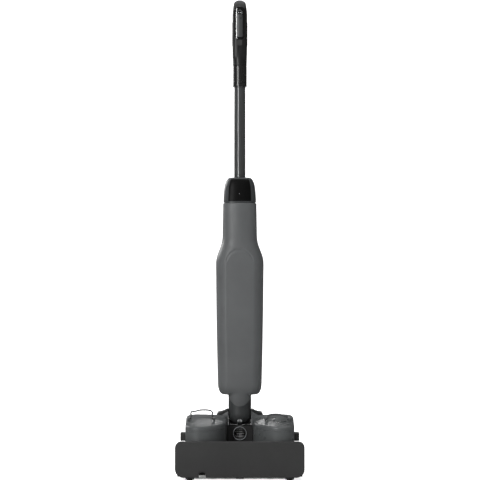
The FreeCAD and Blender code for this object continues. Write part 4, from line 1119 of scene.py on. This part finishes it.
def tank_cutters(side):
    """The latch's pocket and the spigot's bore, and on the right also the filler's stepped hole."""
    pocket = rounded_box((-0.0744, 0.0871), (-0.0496, 0.1079), (0.0043,) * 4, 6)
    cutters = [plain_mesh("cut_pocket", *cross_bar(pocket, side * 0.115, side * 0.150))]
    outline = circle(SPIGOT_R, 48, (side * SPIGOT[0], SPIGOT[1]))
    bore = [[Vector((x, y, z)) for x, y in outline] for z in (0.060, 0.0789)]
    cutters.append(plain_mesh("cut_spigot", *ring_stack(bore)))
    if side > 0:
        for radius, depth in ((FILLER_R + 0.0005, -0.0030), (FILLER_R - 0.003, -0.012)):
            hole = [[on_slope(x, y, z) for x, y in circle(radius, 48, FILLER)] for z in (depth, 0.02)]
            cutters.append(plain_mesh("cut_filler", *ring_stack(hole)))
    return cutters


def tank(side, name, body):
    finish = "tank_plastic" if side > 0 else "tank_matt"
    piece = new_piece(name, *ring_stack(tank_rings(side)), body, finish, 50.0)
    carve(piece, tank_cutters(side), finish, 32.0)
    return piece


def rounded_path(points, radius):
    """A path with each corner turned in a soft curve."""
    path = [points[0]]
    for before, corner, after in zip(points, points[1:], points[2:]):
        ways = (before - corner, after - corner)
        first, last = (corner + way.normalized() * min(radius, way.length / 2) for way in ways)
        path += [first.lerp(corner, t).lerp(corner.lerp(last, t), t) for t in shares(8)]
    return path + [points[-1]]


def wire(name, path, radius, body, finish):
    """A round wire along a path, closed at both ends."""
    rings = []
    across = Vector((0, 0, 1))
    for i, point in enumerate(path):
        ahead = (path[min(i + 1, len(path) - 1)] - path[max(i - 1, 0)]).normalized()
        across = across - ahead * across.dot(ahead)
        if across.length < 1e-6:
            across = ahead.orthogonal()
        across = across.normalized()
        other = ahead.cross(across)
        rings.append([point + across * x + other * y for x, y in circle(radius, 16)])
    return new_piece(name, *ring_stack(rings), body, finish, 60.0)


def bail(side, name, body, lift, finish):
    """Wire bail with a stepped grip, turned up about its pins by an angle in degrees."""
    middle = (BAIL_IN + BAIL_OUT) / 2
    flat = [
        (BAIL_OUT + BAIL_PIN, 0.0, 0.0),
        (BAIL_OUT, 0.0, 0.0),
        (BAIL_OUT, BAIL_ARM, 0.0),
        (middle + 0.014, BAIL_ARM, 0.0),
        (middle + 0.005, BAIL_ARM, BAIL_STEP),
        (middle - 0.016, BAIL_ARM, BAIL_STEP),
        (BAIL_IN, BAIL_ARM, 0.0),
        (BAIL_IN, 0.0, 0.0),
        (BAIL_IN - BAIL_PIN, 0.0, 0.0),
    ]
    c = cos(radians(lift))
    s = sin(radians(lift))
    route = [on_slope(side * x, BAIL_Y + y * c - z * s, BAIL_RISE + y * s + z * c) for x, y, z in flat]
    return wire(name, rounded_path(route, 0.008), BAIL_WIRE, body, finish)


def ears(side, name, body):
    """Two rounded ears that hold the bail's pins."""
    outline = [(-EAR_R, EAR_FOOT)] + arc(0.0, BAIL_RISE, EAR_R, 2, 0, 16) + [(EAR_R, EAR_FOOT)]
    for number, x in enumerate((BAIL_IN - EAR_OFFSET, BAIL_OUT + EAR_OFFSET), 1):
        rings = []
        for place, slim in EAR_SLICES:
            at = side * (x + place)
            rings.append([on_slope(at, BAIL_Y + y * slim, mix(BAIL_RISE, z, slim)) for y, z in outline])
        new_piece(f"{name}_{number}", *ring_stack(rings), body, "tank_plastic", 40.0)


def filler_cap():
    """Round flap that follows the lid's curve, with a finger dip in front and a barrel behind."""
    rings = []
    for share in shares(14):
        radius = max(0.0002, FILLER_R * share)
        lift = FLAP_THICK * pillow(min(1.0, (FILLER_R - radius) / 0.0012))
        line = []
        for x, y in circle(radius, 72):
            flat = on_slope(FILLER[0] + x, FILLER[1] + y, 0.0)
            dip = 0.0009 * ease(1 - hypot(x, y + 0.008) / 0.005)
            height = lid_height(flat.x, flat.y) - roll_off(flat.x, flat.y)
            line.append(Vector((flat.x, flat.y, height + lift - dip)))
        rings.append(line)
    for radius, depth in ((FILLER_R, -0.0026), (PLUG_R, -0.0026), (PLUG_R, -0.0060)):
        rings.append([on_slope(x, y, depth) for x, y in circle(radius, 72, FILLER)])
    piece = new_piece("filler_flap", *ring_stack(rings), "filler_cap", "tank_plastic", 40.0)
    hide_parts("filler_cap")
    hinge = on_slope(FILLER[0], FILLER[1] + FILLER_R + 0.0014, 0.0020)
    half = [(ON_AXIS, -BARREL_HALF), (0.0013, -BARREL_HALF), (BARREL_R, BARREL_ROUND - BARREL_HALF)]
    profile = [(r, hinge.x + x) for r, x in half] + [(r, hinge.x - x) for r, x in reversed(half)]
    turned("filler_barrel", profile, hinge, "x", "filler_cap", "tank_plastic", 24, 40.0)


def tanks():
    left = tank(-1, "tank_left", "dirty_tank")
    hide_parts("dirty_tank_shell", "dirty_tank_lid")
    right = tank(1, "tank_right", "clean_tank")
    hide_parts("clean_tank_shell", "clean_tank_lid")
    ears(-1, "ear_left", "dirty_tank")
    ears(1, "ear_right", "clean_tank")
    wire_left = bail(-1, "bail_left", "dirty_tank_bail", 22.0, "black_plastic")
    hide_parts("dirty_tank_bail")
    wire_right = bail(1, "bail_right", "clean_tank_bail", 0.0, "tank_plastic")
    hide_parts("clean_tank_bail")
    filler_cap()


# ---- neck seat

DRUM_HALF = 0.0272
DRUM_R = 0.0262
CHEEK_LOW = 0.0930
CHEEK_Y = 0.0168
CHEEK_SHOULDER = 0.013
CHEEK_SQUARE = 0.75
CHEEK_TOP = (
    (0.0274, 0.1568), (0.0300, 0.1556), (0.0350, 0.1527), (0.0420, 0.1518),
    (0.0500, 0.1512), (0.0535, 0.1492), (0.0555, 0.1450), (0.0565, 0.1390),
)


def cheek(side, name):
    """Rounded shoulder beside the neck, falling away to the side."""
    inner = CHEEK_TOP[0][0]
    outer = CHEEK_TOP[-1][0]
    rings = []
    for share in shares(40):
        x = mix(inner, outer, share)
        chamfer = 0.0008 * (1 - ease((x - inner) / 0.0009))
        near = [min(outer, max(inner, x + 0.0015 * k)) for k in (-1, -0.5, 0, 0.5, 1)]
        foot = sum(between(CHEEK_TOP, place)[0] for place in near) / len(near) - chamfer - CHEEK_SHOULDER
        half = mix(0.0158, 0.0125, share) - chamfer
        line = [Vector((side * x, CHEEK_Y - half, CHEEK_LOW))]
        for bend in shares(20):
            angle = pi - pi * bend
            y = CHEEK_Y + half * squared(cos(angle), CHEEK_SQUARE)
            line.append(Vector((side * x, y, foot + CHEEK_SHOULDER * abs(sin(angle)) ** CHEEK_SQUARE)))
        line.append(Vector((side * x, CHEEK_Y + half, CHEEK_LOW)))
        rings.append(line)
    return new_piece(name, *ring_stack(rings), "head", "charcoal_plastic", 40.0)


def neck_seat():
    """Shoulders, the bar under the neck and the half drum behind its ball."""
    cheek(-1, "shoulder_left")
    cheek(1, "shoulder_right")
    rest = rounded_box((0.0200, 0.0950), (0.0360, 0.1184), (0.003, 0.003, 0.001, 0.001), 6)
    new_piece("neck_rest", *cross_bar(rest, -DRUM_HALF, DRUM_HALF), "head", "black_plastic", 40.0)
    y = PIVOT_PLACE[0] + 0.0005
    z = PIVOT_PLACE[1]
    bend = [radians(mix(-90, 20, share)) for share in shares(24)]
    drum = [(y, z + 0.012)] + [(y + DRUM_R * cos(a) * 0.98, z + DRUM_R * sin(a)) for a in bend]
    new_piece("neck_drum", *cross_bar(drum, -DRUM_HALF, DRUM_HALF), "neck", "black_plastic", 40.0)


# ---- stage, camera, light

WHITE = (1.0, 1.0, 1.0, 1.0)
FLOOR_REACH = 9.0
FLOOR_BACK = 5.0
FLOOR_BEND = 1.6
CAMERA_DISTANCE = 4.0
CAMERA_HEIGHT = 0.476
CAMERA_ASIDE = 0.0005
AIM_HEIGHT = 0.5612
VIEW_HEIGHT = 1.1538
SENSOR = 36.0


def make_floor():
    """White paper sweep that rises behind the object."""
    bend = arc(FLOOR_BACK - FLOOR_BEND, FLOOR_BEND, FLOOR_BEND, -1, 0, 12)
    rows = [(-FLOOR_REACH, 0.0)] + bend + [(FLOOR_BACK, FLOOR_REACH)]
    mesh = bpy.data.meshes.new("studio_floor")
    verts = [(x, y, z) for y, z in rows for x in (-FLOOR_REACH, FLOOR_REACH)]
    mesh.from_pydata(verts, [], grid_faces(len(rows), 2))
    floor = bpy.data.objects.new("studio_floor", mesh)
    bpy.context.scene.collection.objects.link(floor)
    mat, tree, shader, where = new_material("studio_paper", 0.9)
    grain = noise_of(tree, where, 300.0, 3.0)
    colour_by(tree, shader, grain, grey(0.90), grey(0.93))
    put(shader, {"Emission Color": WHITE})
    camera_ray = add_node(tree, "LightPath", {})["Is Camera Ray"]
    glow = spread(tree, camera_ray, 0.13, 0.80, 0.0, 1.0)
    tree.links.new(glow, shader.inputs["Emission Strength"])
    mesh.materials.append(mat)
    for polygon in mesh.polygons:
        polygon.use_smooth = True
    floor.visible_glossy = False


def make_world():
    """White behind the object, with a dimmer sky that lights it so that its sides keep their shade."""
    world = bpy.data.worlds.new("studio")
    world.use_nodes = True
    tree = world.node_tree
    seen = tree.nodes["Background"]
    put(seen, {"Color": WHITE, "Strength": 1.05})
    sky = add_node(tree, "Background", {"Color": WHITE, "Strength": 0.07})["Background"]
    camera_ray = add_node(tree, "LightPath", {})["Is Camera Ray"]
    choose = tree.nodes.new("ShaderNodeMixShader")
    tree.links.new(camera_ray, choose.inputs["Fac"])
    tree.links.new(sky, choose.inputs[1])
    tree.links.new(seen.outputs["Background"], choose.inputs[2])
    tree.links.new(choose.outputs["Shader"], tree.nodes["World Output"].inputs["Surface"])
    bpy.context.scene.world = world
    bpy.context.scene.view_settings.view_transform = "Standard"


def aimed(name, data, place, aim):
    """An object for a lamp or a camera, looking from a place to its aim."""
    obj = bpy.data.objects.new(name, data)
    obj.location = place
    obj.rotation_mode = "QUATERNION"
    obj.rotation_quaternion = (Vector(aim) - Vector(place)).to_track_quat("-Z", "Y")
    bpy.context.scene.collection.objects.link(obj)
    return obj


def area_light(name, place, aim, wide, tall, power, glint=True):
    data = bpy.data.lights.new(name, "AREA")
    data.shape = "RECTANGLE"
    data.size = wide
    data.size_y = tall
    data.energy = power
    lamp = aimed(name, data, place, aim)
    lamp.visible_camera = False
    lamp.visible_glossy = glint


def make_camera():
    """Long lens straight in front of the tube, tipped up a little, so that the handle's top just fits."""
    x = (TUBE_LOW.x + TUBE_HIGH.x) / 2 + CAMERA_ASIDE
    data = bpy.data.cameras.new("camera")
    data.sensor_width = SENSOR
    data.lens = SENSOR * CAMERA_DISTANCE / VIEW_HEIGHT
    place = (x, AXIS_Y - CAMERA_DISTANCE, CAMERA_HEIGHT)
    bpy.context.scene.camera = aimed("camera", data, place, (x, AXIS_Y, AIM_HEIGHT))


def make_lights():
    area_light("strip_front", (-2.2, -3.4, 1.5), (0, 0, 0.85), 0.20, 1.6, 66)
    area_light("back_left", (-2.55, 2.5, 2.0), (0, 0, 0.3), 0.6, 1.4, 54)
    area_light("back_top", (-0.05, 3.2, 1.1), (0, 0, 0.1), 0.22, 0.7, 4.5)
    area_light("back_fill", (-1.6, 2.2, 1.3), (0, 0, 0.1), 0.6, 0.5, 34, False)
    area_light("soft_front", (-0.2, -3.5, 2.9), (0, 0, 0.5), 1.4, 1.2, 58, False)
    area_light("top_soft", (0.0, 0.4, 4.0), (0, 0.4, 0.0), 5.0, 5.0, 100)


# ---- build

paint_cad_nodes()
body_front()
top_cap()
display_panel()
handle()
grip_cover()
front_trim()
status_lights()
boot()
port_bezel()
notch_painted_shade()
neck_button()
roller_pile()
tyres()
tanks()
neck_seat()
make_floor()
make_world()
make_camera()
make_lights()
